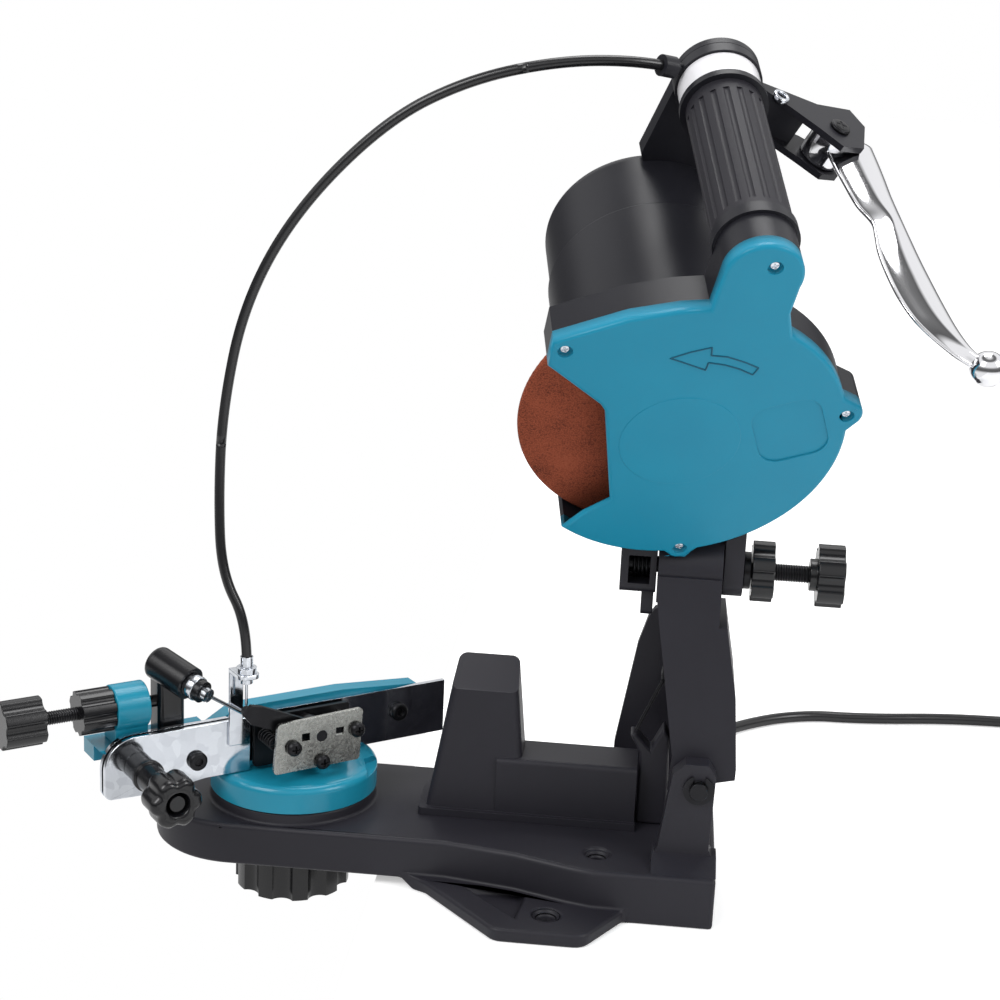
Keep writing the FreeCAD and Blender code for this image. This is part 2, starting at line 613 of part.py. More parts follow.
def return_spring():
    """Torsion spring on the arm's cross post: one leg bears on the base rib, the other on the arm's web."""
    x, z = SPRING_AT
    pitch, turns = 2.4, 4
    half = pitch * turns / 2
    coil = helix_spring((x, -half, z), (0, 1, 0), SPRING_R, SPRING_WIRE, pitch, turns)
    legs = [rod((x - SPRING_R, -half, z - 2), (37.2, -half, 76.6), SPRING_WIRE),
            rod((x + SPRING_R, half, z), (x + SPRING_R + 9, half, z + 20), SPRING_WIRE)]
    return union(coil, *legs)


# ---------------------------------------------------------------- grinding head
def guard_plan():
    """Outline of the disc guard in the head's own frame, as a face at y = 0."""
    def disc(x, z, radius):
        return rod((x, 0, z), (x, 1, z), radius)

    def patch(points):
        return prism_xz(points, 0, 1)

    plan = union(
        disc(0, 0, GUARD_R),
        patch([(-39.4, 77.3), (-5.4, 79.2), (16.6, 76.6), (28.6, 73.4), (40, 40), (-28, 30), (-45.3, 64.1)]),
        disc(GRIP_U, GRIP_V, 17.3),
        patch([(28.6, 73.4), (GRIP_U - 16.0, GRIP_V + 6.6), (GRIP_U + 16.6, GRIP_V - 4.5), (60.5, 60), (59, 44),
               (30, 40)]),
        disc(75.0, -9.0, 7.5),
        patch([(70, 8), (80, -3.4), (80, -14.6), (66, -24), (60, 0)]),
        disc(-14.8, -73.0, 6.5),
        patch([(-26, -66), (-20, -77.2), (-9.5, -77.2), (0, -72)]))
    notch = patch([(-45.3, 64.1), (-28.9, 33.6), (-28, 29.3), (-38.8, -27.5), (-53.1, -32.2), (-70, -42),
                   (-120, -42), (-120, 90), (-60, 90)])
    plan = plan.cut(notch).removeSplitter()
    front = [face for face in plan.Faces if face.BoundBox.YMax < 0.01]
    return max(front, key=lambda face: face.Area)


GUARD_SCREWS = ((-36.0, 70.5), (58.5, 88.0), (75.0, -9.0), (-14.8, -72.5))


def guard_half(plan, front, back, floor_front, floor_back):
    """Moulded half shell: the outline less the chamber that the disc turns in, with its screw pillars."""
    def slab(face, start, end):
        moved = face.copy()
        moved.translate(Vector(0, start, 0))
        return moved.extrude(Vector(0, end - start, 0))

    whole = slab(plan, front, back)
    chamber = rod((0, floor_front, 0), (0, floor_back, 0), GUARD_R - GUARD_WALL)
    inner = slab(plan.makeOffset2D(-GUARD_WALL), floor_front, floor_back)
    shell = whole.cut(chamber).cut(inner)
    for x, z in GUARD_SCREWS:
        pillar = rod((x, front, z), (x, back, z), 4.6).common(whole).cut(chamber)
        shell = shell.fuse(pillar)
    return shell.removeSplitter()


def guard_front(plan):
    """Front cover with a rounded rim, a ring bulge, a sunk bare oval and counterbored screw seats."""
    cover = guard_half(plan, GUARD_FRONT, GUARD_SPLIT, GUARD_FRONT + GUARD_WALL, GUARD_SPLIT + 1)
    for x, z in GUARD_SCREWS:
        cover = minus(cover, rod((x, GUARD_FRONT - 1, z), (x, GUARD_FRONT + 2.5, z), 3.4),
                      rod((x, GUARD_FRONT, z), (x, GUARD_SPLIT + 1, z), 1.7))
    bulge = rod((0, GUARD_FRONT - 0.3, 0), (0, GUARD_FRONT + 0.5, 0), 27.6)
    cover = cover.fuse(bulge).removeSplitter()
    oval = rounded(prism_xz([(33, -28), (65, -28), (65, 8), (33, 8)], GUARD_FRONT - 1, GUARD_FRONT + 0.8),
                   Y_AXIS, 9.0)
    return minus(cover, oval, in_head(tilt_clearance()))


def guard_rear(plan):
    """Back shell of the disc chamber; the motor is flanged to it and the grip starts on its lobe."""
    shell = guard_half(plan, GUARD_SPLIT, GUARD_REAR, GUARD_SPLIT - 1, GUARD_REAR - 3)
    seat = rod((GRIP_U, GUARD_REAR - 1, GRIP_V), (GRIP_U, GUARD_REAR + 5, GRIP_V), GRIP_R + 1.2)
    core = rod((GRIP_U, GUARD_REAR + 4, GRIP_V), (GRIP_U, GUARD_REAR + 14, GRIP_V), CORE_R - FIT)
    bore = rod((0, GUARD_REAR - 8, 0), (0, GUARD_REAR + 2, 0), FLANGE_R + 1.5)
    return minus(union(shell, seat, core), bore, in_head(tilt_clearance()))


CORE_R = 12.0
FLANGE_R = 19.0


def motor_housing():
    """Front motor can with a bearing seat in its front wall and two screw lugs."""
    front = GUARD_REAR
    can = rod((0, front, 0), (0, MOTOR_STEP, 0), MOTOR_R)
    hollow = rod((0, front + 5, 0), (0, MOTOR_STEP + 1, 0), MOTOR_R - MOTOR_WALL)
    seat = rod((0, front + 4, 0), (0, front + 13, 0), BEARING_R + 4)
    can = can.cut(hollow).fuse(seat).removeSplitter()
    return minus(can, rod((0, front + 5, 0), (0, front + 14, 0), BEARING_R),
                 rod((0, front - 1, 0), (0, front + 2.6, 0), FLANGE_R + 1.5),
                 rod((0, front, 0), (0, front + 6, 0), SHAFT_R + 3))


BEARING_R = 16.0
BEARING_W = 9.0


def motor_cap():
    """Rear motor can: a step smaller, with a rounded back that is slotted for air."""
    step = MOTOR_R - 1.5
    cap = rod((0, MOTOR_STEP, 0), (0, MOTOR_END, 0), step)
    cap = rounded_rim(cap, 8.0, lambda b: b.YMin > MOTOR_END - 0.1)
    cap = cap.cut(rod((0, MOTOR_STEP - 1, 0), (0, MOTOR_END - MOTOR_WALL, 0), step - MOTOR_WALL))
    seat = rod((0, MOTOR_END - 16, 0), (0, MOTOR_END - MOTOR_WALL + 1, 0), BEARING_R + 4)
    cap = cap.fuse(seat).removeSplitter()
    cap = cap.cut(rod((0, MOTOR_END - 17, 0), (0, MOTOR_END - 6, 0), BEARING_R))
    for number in range(10):
        slot = box(25, 40, MOTOR_END - 4, MOTOR_END + 1, -1.6, 1.6)
        slot.rotate(Vector(0, 0, 0), Y_AXIS, 36.0 * number)
        cap = cap.cut(slot)
    return cap


def bearing(start):
    return ring((0, start, 0), (0, start + BEARING_W, 0), BEARING_R, SHAFT_R + 2 + FIT)


def stator():
    """Lamination stack with winding ends, held in the front can."""
    stack = ring((0, 34, 0), (0, 78, 0), MOTOR_R - MOTOR_WALL, 29.0)
    winding = ring((0, 27, 0), (0, 85, 0), 45.0, 31.0)
    return union(stack, winding)


def rotor():
    """Squirrel-cage core on a stepped shaft, with the fixed inner flange of the disc."""
    shaft = rod((0, -12, 0), (0, 10, 0), SHAFT_R)
    shaft = shaft.fuse(rod((0, 10, 0), (0, MOTOR_END - 8, 0), SHAFT_R + 2))
    core = rod((0, 34, 0), (0, 78, 0), 28.4)
    flange = rod((0, DISC_W / 2, 0), (0, 8, 0), FLANGE_R)
    pilot = rod((0, -DISC_W / 2 + 0.2, 0), (0, DISC_W / 2 + 1, 0), DISC_BORE_R - FIT)
    return union(shaft, core, flange, pilot)


def grinding_disc():
    disc = rod((0, -DISC_W / 2, 0), (0, DISC_W / 2, 0), DISC_R)
    disc = rounded_rim(disc, DISC_W * 0.4, lambda b: b.XLength > DISC_R)
    return disc.cut(rod((0, -DISC_W, 0), (0, DISC_W, 0), DISC_BORE_R))


def flange_outer():
    return ring((0, -DISC_W / 2 - 4, 0), (0, -DISC_W / 2, 0), FLANGE_R, SHAFT_R + FIT)


def disc_nut():
    front, back = -DISC_W / 2 - 9.5, -DISC_W / 2 - 4
    corners = [(9.8 * math.cos(math.radians(60 * n)), 9.8 * math.sin(math.radians(60 * n))) for n in range(6)]
    return prism_xz(corners, front, back).cut(rod((0, front - 1, 0), (0, back + 1, 0), SHAFT_R + FIT))


def tilt_clearance():
    """Space round the tilt axis that the arm's crown sweeps, in the part's frame."""
    return rod((BARREL_X0 - 0.7, 0, TILT_Z), (BARREL_X1 + 0.6, 0, TILT_Z), 22.0)


def yoke():
    """Casting under the motor with two ears that straddle the arm's barrel; in the part's frame."""
    left = rounded(box(24, BARREL_X0 - 0.7, -12, 14, 151, 205), X_AXIS, 4.0,
                   lambda e: e.BoundBox.ZMax < 152)
    right = rounded(box(BARREL_X1 + 0.6, 84, -12, 16, 151, 205), X_AXIS, 8.0,
                    lambda e: e.BoundBox.ZMax < 152)
    tab = rounded(box(35, 41, -7, 7, 138, 152), X_AXIS, 4.0, lambda e: e.BoundBox.ZMax < 139)
    bridge = box(-34, 34, GUARD_REAR, GUARD_REAR + 42, -74, -40)
    bridge.Placement = HEAD.multiply(bridge.Placement)
    spread = box(24, 84, -12, 22, 186, 205)
    body = union(left, right, tab, spread, bridge)
    front_space = rod((0, GUARD_FRONT - 20, 0), (0, GUARD_REAR, 0), GUARD_R + 7)
    front_space.Placement = HEAD.multiply(front_space.Placement)
    motor_space = rod((0, -50, 0), (0, 200, 0), MOTOR_R)
    motor_space.Placement = HEAD.multiply(motor_space.Placement)
    pocket = box(28, BARREL_X0 - 4, -13, 9, 156, 170)
    bolt = rod((10, 0, TILT_Z), (120, 0, TILT_Z), TILT_BOLT_R + 0.01)
    return minus(body, tilt_clearance(), front_space, motor_space, pocket, bolt)


def tilt_bolt():
    bolt = rod((25.5, 0, TILT_Z), (116, 0, TILT_Z), TILT_BOLT_R)
    washer = rod((84.2, 0, TILT_Z), (87.7, 0, TILT_Z), 9.2)
    return union(bolt, washer)


def tilt_spring():
    return helix_spring((29.3, 0, TILT_Z), (1, 0, 0), 5.5, 0.8, 2.0, 4)


def tilt_knob():
    return star_knob((88.2, 0, TILT_Z), (99, 0, TILT_Z), 15.0, 6, TILT_BOLT_R + FIT)


def end_knob():
    hub = rod((116.5, 0, TILT_Z), (121, 0, TILT_Z), 8.0)
    knob = star_knob((120, 0, TILT_Z), (133, 0, TILT_Z), 15.5, 6, 0)
    return union(hub, knob)


def grip():
    """Fluted sleeve over the handle core."""
    front, back = GUARD_REAR + 5 + CLEAR, GRIP_END
    sleeve = rod((GRIP_U, front, GRIP_V), (GRIP_U, back, GRIP_V), GRIP_R)
    count = 18
    for number in range(count):
        turn = 2 * math.pi * number / count
        x, z = GRIP_U + (GRIP_R + 1.0) * math.cos(turn), GRIP_V + (GRIP_R + 1.0) * math.sin(turn)
        sleeve = sleeve.cut(rod((x, front + 4, z), (x, back - 6, z), 1.8))
    return sleeve.cut(rod((GRIP_U, front - 1, GRIP_V), (GRIP_U, back + 1, GRIP_V), CORE_R))


def handle_core():
    """Tube through the grip; its wide bare band shows between the grip and the clamps."""
    core = rod((GRIP_U, GUARD_REAR + 14.2, GRIP_V), (GRIP_U, SUPPORT_END, GRIP_V), CORE_R - FIT)
    collar = rod((GRIP_U, GRIP_END, GRIP_V), (GRIP_U, GRIP_END + 3.5, GRIP_V), 20.5)
    band = rod((GRIP_U, GRIP_END + 3.5, GRIP_V), (GRIP_U, BAND_END, GRIP_V), 19.3)
    cap = rounded_rim(rod((GRIP_U, SUPPORT_END, GRIP_V), (GRIP_U, SUPPORT_END + CAP_WALL, GRIP_V), CAP_R), 1.0,
                      lambda b: b.YMin > SUPPORT_END + CAP_WALL - 0.1)
    return union(core, collar, band, cap)


def handle_support():
    """Eye round the handle's far end with a gusset down to the motor cap."""
    front, back = BRACKET_END + CLEAR, SUPPORT_END
    eye = rod((GRIP_U, front, GRIP_V), (GRIP_U, back, GRIP_V), 20.5)
    gusset = prism_xz([(10, 40), (10, 53), (39, 93.5), (68, 70), (48, 20)], front, MOTOR_END - 1)
    body = union(eye, gusset)
    return minus(body, rod((0, 90, 0), (0, 160, 0), MOTOR_R - 1.5),
                 rod((GRIP_U, SUPPORT_END, GRIP_V), (GRIP_U, MOTOR_END, GRIP_V), CAP_R + CLEAR),
                 rod((GRIP_U, front - 1, GRIP_V), (GRIP_U, back + 1, GRIP_V), CORE_R))


# ---------------------------------------------------------------- hand lever, in a frame of its own
# x leads away from the grip's axis, y runs back along the grip and z is normal to the lever's plane
REACH_DOWN = math.degrees(math.atan2(0.665, 0.747))
LEVER = HEAD.multiply(Placement(Vector(GRIP_U, 0, GRIP_V), Rotation(Y_AXIS, REACH_DOWN)))
LEVER_PIVOT = (60.8, 110.4)
LEVER_HALF = 4.0            # half thickness of the lever's blade
HUB_LOW = -10.7             # under side of the lever's hub
FORK_WALL = 3.2
FORK_TOP = LEVER_HALF + CLEAR
FORK_LOW = HUB_LOW - CLEAR


def barrel_point(reach):
    """Point on the axis of the cable barrel, which leans forward as it leaves the handle."""
    return Vector(reach, 121.0 + 0.3 * (reach + 20.5), 0)


def lever_flat(points, low, high):
    """Prism in the lever's plane; points are (distance from the grip's axis, place along it)."""
    return prism_xy(points, low, high)


def lever_rod(at, low, high, radius):
    x, along = at
    return rod((x, along, low), (x, along, high), radius)


def lever_bracket():
    """Clamp round the handle with two cheeks for the lever and a barrel for the cable housing."""
    top = lever_flat([(17, 119), (28, BRACKET_END), (51, BRACKET_END), (71, 130.5), (77.5, 120.5), (72.5, 101), (60, 96),
                      (48, 104), (34, 112), (20.5, 118.5)], FORK_TOP, FORK_TOP + FORK_WALL)
    bottom = lever_flat([(17, 119), (28, 123), (52, 123), (66, 119), (70, 101), (60, 97), (48, 104), (20.5, 118.5)],
                        FORK_LOW - FORK_WALL, FORK_LOW)
    block = lever_flat([(15, BAND_END + CLEAR), (15, BRACKET_END), (44, BRACKET_END), (44, 112), (34, 113),
                        (24, BAND_END + CLEAR)], FORK_LOW - FORK_WALL, FORK_TOP + FORK_WALL)
    eye = ring((0, BAND_END + CLEAR, 0), (0, BRACKET_END, 0), 20.5, CORE_R)
    barrel = rod(barrel_point(-19.5), barrel_point(-24), 2.8).fuse(rod(barrel_point(-24), barrel_point(-31), 5.0))
    body = union(eye, barrel, block.cut(rod((0, 90, 0), (0, 150, 0), CORE_R)), top, bottom)
    cup = rod(barrel_point(-26), barrel_point(-32), CABLE_D / 2)
    return minus(body, cup, lever_rod(LEVER_PIVOT, FORK_LOW - 9, FORK_TOP + 9, PIVOT_R + 0.01),
                 rod((0, 90, 0), (0, 150, 0), CORE_R))


PIVOT_R = 3.0


def lever_pivot():
    face = FORK_TOP + FORK_WALL
    head = lever_rod(LEVER_PIVOT, face, face + 1.8, 4.6)
    return union(lever_rod(LEVER_PIVOT, FORK_LOW - FORK_WALL - 1.5, face + 1, PIVOT_R), head)


def brake_lever():
    """Cast lever: a hub in the bracket, a bent neck, a hollow-ground blade and a ball end."""
    hub = lever_rod(LEVER_PIVOT, HUB_LOW, LEVER_HALF, 10.5)
    neck = lever_flat([(52, 106), (70, 114), (84, 116), (87, 96), (87.3, 60), (88, 50), (73, 42), (74, 62),
                       (62, 76), (56, 92)], -LEVER_HALF, LEVER_HALF)
    blade = lever_flat([(73, 46), (72.5, 34), (76, 14), (83, -4), (94, -18), (105, -24.5), (112, -21.5),
                        (104, -1), (96.9, 21.2), (90, 40), (88, 54)], -LEVER_HALF, LEVER_HALF)
    ball = Part.makeSphere(8.0, Vector(113.6, -24.9, 0))
    lever = union(hub, neck, blade, ball)
    return lever.cut(lever_rod(LEVER_PIVOT, HUB_LOW - 1, LEVER_HALF + 1, PIVOT_R + FIT))


# ---------------------------------------------------------------- switch and cords
SWITCH = (0.0, MOTOR_END, -22.0)


def switch_body():
    x, y, z = SWITCH
    frame = box(x - 11, x + 11, y, y + 2.5, z - 8, z + 8)
    return frame.cut(box(x - 9.3, x + 9.3, y + 0.6, y + 3, z - 6.2, z + 6.2))


def rocker():
    x, y, z = SWITCH
    return prism_yz([(y + 2.4, z - 5.7), (y + 5.2, z - 5.7), (y + 3.6, z), (y + 4.4, z + 5.7), (y + 2.0, z + 5.7)],
                    x - 9.0, x + 9.0)


CORD_EXIT = (66.0, REAR_HALF, 14.0)
CORD_ROUTE = [(66, 91, 14), (67, 118, 10.5), (70, 145, 4.6), (78, 170, 3.6), (96, 192, 3.45), (117, 209, 3.4),
              (133, 217.5, 3.35), (150, 222.5, 3.35), (167, 223, 3.3), (192, 226.3, 3.3), (225, 233.5, 3.3), (260, 236.5, 3.3),
              (296, 235.4, 3.3)]
COIL_AT = (314.0, 273.0)
COIL_OUT, COIL_IN, COIL_HIGH = 41.0, 27.5, 19.0
PLUG_AT = (343.0, 310.4)


def strain_relief():
    x, y, z = CORD_EXIT
    sleeve = Part.makeCone(6.5, 4.6, 24.0, Vector(x, y, z), Y_AXIS)
    return sleeve.fuse(rod((x, y, z), (x, y + 3, z), 8.0)).removeSplitter().cut(
        rod((x, y - 1, z), (x, y + 26, z), CORD_D / 2 + 0.02))


def cord_coil():
    x, y = COIL_AT
    coil = ring((x, y, 0), (x, y, COIL_HIGH), COIL_OUT, COIL_IN)
    return rounded_rim(coil, 5.0, lambda b: b.ZLength < 0.1)


def cord_plug():
    x, y = PLUG_AT
    body = rounded(box(x - 14, x + 14, y, y + 36, 0.2, 21), Y_AXIS, 6.0)
    for side in (-1, 1):
        body = body.fuse(rod((x + side * 9.5, y + 35, 10.6), (x + side * 9.5, y + 55, 10.6), 2.4))
    return body.removeSplitter()


def cable_route():
    start, lead = (LEVER.multVec(barrel_point(reach)) for reach in (-26, -44))
    end = vice_point(CABLE_S, CABLE_DEPTH, FERRULE_TOP - 4.7)
    return [tuple(start), tuple(lead), (-18, -24, 404), (-58, -25, 394), (-96, -24, 373.5), (-137.5, -22, 330),
            (-162, -21, 284), (-172, -21, 232), (-173, -24, 190), (-170, -30, 152), (end.x, end.y, 129),
            (end.x, end.y, end.z)]


# ---------------------------------------------------------------- build
def build_base():
    export("base_casting", base_casting())
    export("guide_block", guide_block())
    export("cheek_near", cheek(-1))
    export("cheek_far", cheek(1))
    export("spring_horn", spring_horn())
    export("pivot_pin", pivot_pin())
    export("clip_near", e_clip(-1))
    export("clip_far", e_clip(1))
    export("strain_relief", strain_relief())
    x, y, z = CORD_EXIT
    export("cord_tube", cord("cord_tube", [(x, y, z)] + CORD_ROUTE, CORD_D))
    export("cord_coil", cord_coil())
    export("cord_plug", cord_plug())


def build_vice():
    front_face = -SLOT / 2 - RAIL_WALL
    pieces = {
        "vice_bridge": vice_bridge(),
        "rail_rear": rail(SLOT / 2 + RAIL_WALL, RAIL_RIGHT, RAIL_BOLTS),
        "rail_front": rail(-SLOT / 2, FRONT_RAIL_END, RAIL_BOLTS[1:]),
        "rail_bolt_right": rail_bolt(RAIL_BOLTS[0], SLOT / 2),
        "rail_bolt_left": rail_bolt(RAIL_BOLTS[1], front_face),
        "clamp_plate": clamp_plate(),
        "jaw_plate": jaw_plate(),
        "jaw_spring": jaw_spring(),
        "cam_arm": cam_arm(),
        "cable_anchor": cable_anchor(),
        "cable_ferrule": cable_ferrule(),
        "inner_wire": inner_wire(),
        "stop_bracket": stop_bracket(),
        "stop_screw": stop_screw(),
        "stop_nut": stop_nut(),
        "stop_post": stop_post(),
        "pawl": pawl(),
        "front_stud": front_stud(),
        "front_knob": front_knob(),
    }
    export("turntable", turntable(), TABLE)
    export("lock_knob", lock_knob(), TABLE)
    for name, shape in pieces.items():
        export(name, shape, VICE)


def build_arm():
    export("swing_arm", swing_arm())
    export("return_spring", return_spring())
    export("bowden_cable", cord("bowden_cable", cable_route(), CABLE_D))


def build_head():
    plan = guard_plan()
    pieces = {
        "guard_front": guard_front(plan),
        "guard_rear": guard_rear(plan),
        "motor_housing": motor_housing(),
        "motor_cap": motor_cap(),
        "bearing_front": bearing(GUARD_REAR + 5),
        "bearing_rear": bearing(MOTOR_END - 15),
        "stator": stator(),
        "rotor": rotor(),
        "grinding_disc": grinding_disc(),
        "flange_outer": flange_outer(),
        "disc_nut": disc_nut(),
        "grip": grip(),
        "handle_core": handle_core(),
        "handle_support": handle_support(),
        "switch_body": switch_body(),
        "rocker": rocker(),
    }
    for name, shape in pieces.items():
        export(name, shape, HEAD)
    export("yoke", yoke())
    export("tilt_bolt", tilt_bolt())
    export("tilt_spring", tilt_spring())
    export("tilt_knob", tilt_knob())
    export("end_knob", end_knob())
    export("lever_bracket", lever_bracket(), LEVER)
    export("lever_pivot", lever_pivot(), LEVER)
    export("brake_lever", brake_lever(), LEVER)


os.makedirs(PARTS, exist_ok=True)
build_base()
build_vice()
build_arm()
build_head()
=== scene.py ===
"""Electric saw-chain sharpener: tilting grinding head on a sprung arm over a turntable chain vice.

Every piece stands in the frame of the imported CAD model, in metres, with its place in its mesh.
"""
import json
import math

import bmesh
import bpy
import numpy as np
from mathutils import Matrix, Vector

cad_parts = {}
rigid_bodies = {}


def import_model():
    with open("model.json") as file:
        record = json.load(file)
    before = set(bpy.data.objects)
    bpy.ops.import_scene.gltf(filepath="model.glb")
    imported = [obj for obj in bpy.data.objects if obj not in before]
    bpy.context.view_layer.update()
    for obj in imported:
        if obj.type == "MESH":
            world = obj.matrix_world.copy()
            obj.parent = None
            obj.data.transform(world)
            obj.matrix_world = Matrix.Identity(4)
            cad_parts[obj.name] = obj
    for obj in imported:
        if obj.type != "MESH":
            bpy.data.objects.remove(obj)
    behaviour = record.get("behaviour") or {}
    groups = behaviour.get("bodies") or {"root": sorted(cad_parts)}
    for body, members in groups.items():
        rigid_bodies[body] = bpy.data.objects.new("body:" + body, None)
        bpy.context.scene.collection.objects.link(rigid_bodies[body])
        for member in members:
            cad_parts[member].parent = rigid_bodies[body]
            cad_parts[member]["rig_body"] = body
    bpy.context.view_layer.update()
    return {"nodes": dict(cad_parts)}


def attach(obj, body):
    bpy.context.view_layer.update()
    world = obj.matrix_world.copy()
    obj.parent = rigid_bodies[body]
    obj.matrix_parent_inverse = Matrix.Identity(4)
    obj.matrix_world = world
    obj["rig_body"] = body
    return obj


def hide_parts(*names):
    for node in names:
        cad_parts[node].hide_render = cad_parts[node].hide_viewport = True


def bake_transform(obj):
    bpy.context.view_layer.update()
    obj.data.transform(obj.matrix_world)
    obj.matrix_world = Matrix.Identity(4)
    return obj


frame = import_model()

# ------------------------------------------------------------------ bench, light and camera
# A pale bench top whose edge the machine's round nose overhangs, under soft daylight panels.
# The background is a plain white room, which polished metal shows as well.


def linear(hex_colour):
    """sRGB hex to linear RGBA: each channel c becomes ((c + 0.055) / 1.055) ^ 2.4, or c / 12.92 when dark."""
    value = np.array([int(hex_colour[i:i + 2], 16) for i in (1, 3, 5)]) / 255
    value = np.where(value > 0.04045, ((value + 0.055) / 1.055) ** 2.4, value / 12.92)
    return (*value, 1.0)


def add(tree, kind, inputs=None, **settings):
    """Add a node with its settings; an input is a plain value or the output socket that feeds it."""
    made = tree.nodes.new(kind)
    for name, value in settings.items():
        setattr(made, name, value)
    for name, value in (inputs or {}).items():
        if isinstance(value, bpy.types.NodeSocket):
            tree.links.new(value, made.inputs[name])
        else:
            made.inputs[name].default_value = value
    return made


def new_material(name):
    """An empty node material and its tree."""
    material = bpy.data.materials.new(name)
    material.use_nodes = True
    tree = material.node_tree
    tree.nodes.clear()
    return material, tree


scene = bpy.context.scene
scene.view_settings.view_transform = "Standard"

world = bpy.data.worlds.new("white_room")
scene.world = world
world.use_nodes = True
sky = world.node_tree
sky.nodes.clear()
# The room that polished metal shows, from straight down at 0 to straight up at 1, and the light that it gives
# to everything else.
ROOM_BANDS = ((0.0, 0.95), (0.36, 0.95), (0.47, 0.10), (0.60, 0.16), (0.70, 1.0), (0.89, 1.0),
              (0.93, 0.12), (0.97, 0.2))
ROOM_LIGHT = 0.62
rays = add(sky, "ShaderNodeLightPath")
seen = add(sky, "ShaderNodeMath", operation="MAXIMUM",
           inputs={0: rays.outputs["Is Camera Ray"], 1: rays.outputs["Is Transmission Ray"]})
up = add(sky, "ShaderNodeTexCoord")
split = add(sky, "ShaderNodeSeparateXYZ", {0: up.outputs["Generated"]})
height = add(sky, "ShaderNodeMath", {0: split.outputs["Z"], 1: 0.5, 2: 0.5}, operation="MULTIPLY_ADD")
room = add(sky, "ShaderNodeValToRGB", {"Fac": height.outputs[0]})
for place, shade in ROOM_BANDS:
    stop = room.color_ramp.elements.new(place) if place else room.color_ramp.elements[0]
    stop.position, stop.color = place, (shade, shade, shade, 1)
room.color_ramp.elements[-1].color = (1, 1, 1, 1)
glossy = add(sky, "ShaderNodeMix", {0: rays.outputs["Is Glossy Ray"], 6: (1, 1, 1, 1), 7: room.outputs[0]},
             data_type="RGBA")
level = add(sky, "ShaderNodeMix", {0: rays.outputs["Is Glossy Ray"], 2: ROOM_LIGHT, 3: 1.0},
            data_type="FLOAT")
strength = add(sky, "ShaderNodeMix", {0: seen.outputs[0], 2: level.outputs[0], 3: 1.0}, data_type="FLOAT")
tint = add(sky, "ShaderNodeMix", {0: seen.outputs[0], 6: glossy.outputs[2], 7: (1, 1, 1, 1)},
           data_type="RGBA")
background = add(sky, "ShaderNodeBackground", {"Color": tint.outputs[2], "Strength": strength.outputs[0]})
add(sky, "ShaderNodeOutputWorld", {"Surface": background.outputs[0]})


def lamp(name, at, aim, size, watts):
    """Square panel light of a side of size metres, turned to aim."""
    light = bpy.data.lights.new(name, "AREA")
    light.energy, light.size, light.shape = watts, size, "SQUARE"
    holder = bpy.data.objects.new(name, light)
    holder.location = at
    holder.rotation_euler = (Vector(aim) - Vector(at)).to_track_quat("-Z", "Y").to_euler()
    scene.collection.objects.link(holder)


lamp("panel_left", (-1.0, -1.1, 1.5), (0, 0, 0.15), 0.9, 17.0)
lamp("panel_right", (1.3, -0.5, 1.1), (0, 0, 0.2), 0.6, 8.0)
lamp("panel_top", (0.1, 0.5, 1.7), (0, 0, 0.1), 0.8, 11.0)

LENS_MM, SENSOR_MM = 69.3, 36.0
EYE = (0.0360, -0.9130, 0.4434)
AZIMUTH, ELEVATION, ROLL = (math.radians(a) for a in (4.6, 15.45, 2.66))
look = Vector((-math.sin(AZIMUTH) * math.cos(ELEVATION), math.cos(AZIMUTH) * math.cos(ELEVATION),
               -math.sin(ELEVATION)))
level_right = Vector((math.cos(AZIMUTH), math.sin(AZIMUTH), 0))
level_up = level_right.cross(look)
right = level_right * math.cos(ROLL) + level_up * math.sin(ROLL)
above = level_up * math.cos(ROLL) - level_right * math.sin(ROLL)
camera_data = bpy.data.cameras.new("camera")
camera_data.lens, camera_data.sensor_width = LENS_MM, SENSOR_MM
camera_data.clip_start, camera_data.clip_end = 0.01, 50
camera = bpy.data.objects.new("camera", camera_data)
camera.matrix_world = Matrix((right, above, -look)).transposed().to_4x4()
camera.location = EYE
scene.collection.objects.link(camera)
scene.camera = camera

BENCH = dict(left=-0.088, right=3.0, near=-1.6, far=6.0, thick=0.03)
slab = bpy.data.meshes.new("bench")
corner_x = (BENCH["left"], BENCH["right"])
corner_y = (BENCH["near"], BENCH["far"])
slab.from_pydata([(x, y, z) for z in (-BENCH["thick"], 0) for y in corner_y for x in corner_x], [],
                 [(0, 2, 3, 1), (4, 5, 7, 6), (0, 1, 5, 4), (2, 6, 7, 3), (0, 4, 6, 2), (1, 3, 7, 5)])
bench = bpy.data.objects.new("bench", slab)
scene.collection.objects.link(bench)
laminate, tree = new_material("white_laminate")
bench_rays = add(tree, "ShaderNodeLightPath")
CAMERA_LIFT = 0.42
lift = add(tree, "ShaderNodeMath", operation="MULTIPLY",
           inputs={0: bench_rays.outputs["Is Camera Ray"], 1: CAMERA_LIFT})
shader = add(tree, "ShaderNodeBsdfPrincipled", {"Base Color": linear("#F7F7F7"), "Roughness": 0.75,
                                                "Specular IOR Level": 0.2, "Emission Color": (1, 1, 1, 1),
                                                "Emission Strength": lift.outputs[0]})
add(tree, "ShaderNodeOutputMaterial", {"Surface": shader.outputs[0]})
slab.materials.append(laminate)

# ------------------------------------------------------------------ base, guide block and bearing cheeks
# Glass-filled ABS, injection-moulded with a fine spark-eroded grain and soft 2 to 4 mm edges.
# The block stands on the deck as one moulding with it, and the two cheeks hold the arm's pin.
MELT_CLOUDS = 24.0  # to a metre, so each is about 40 mm across


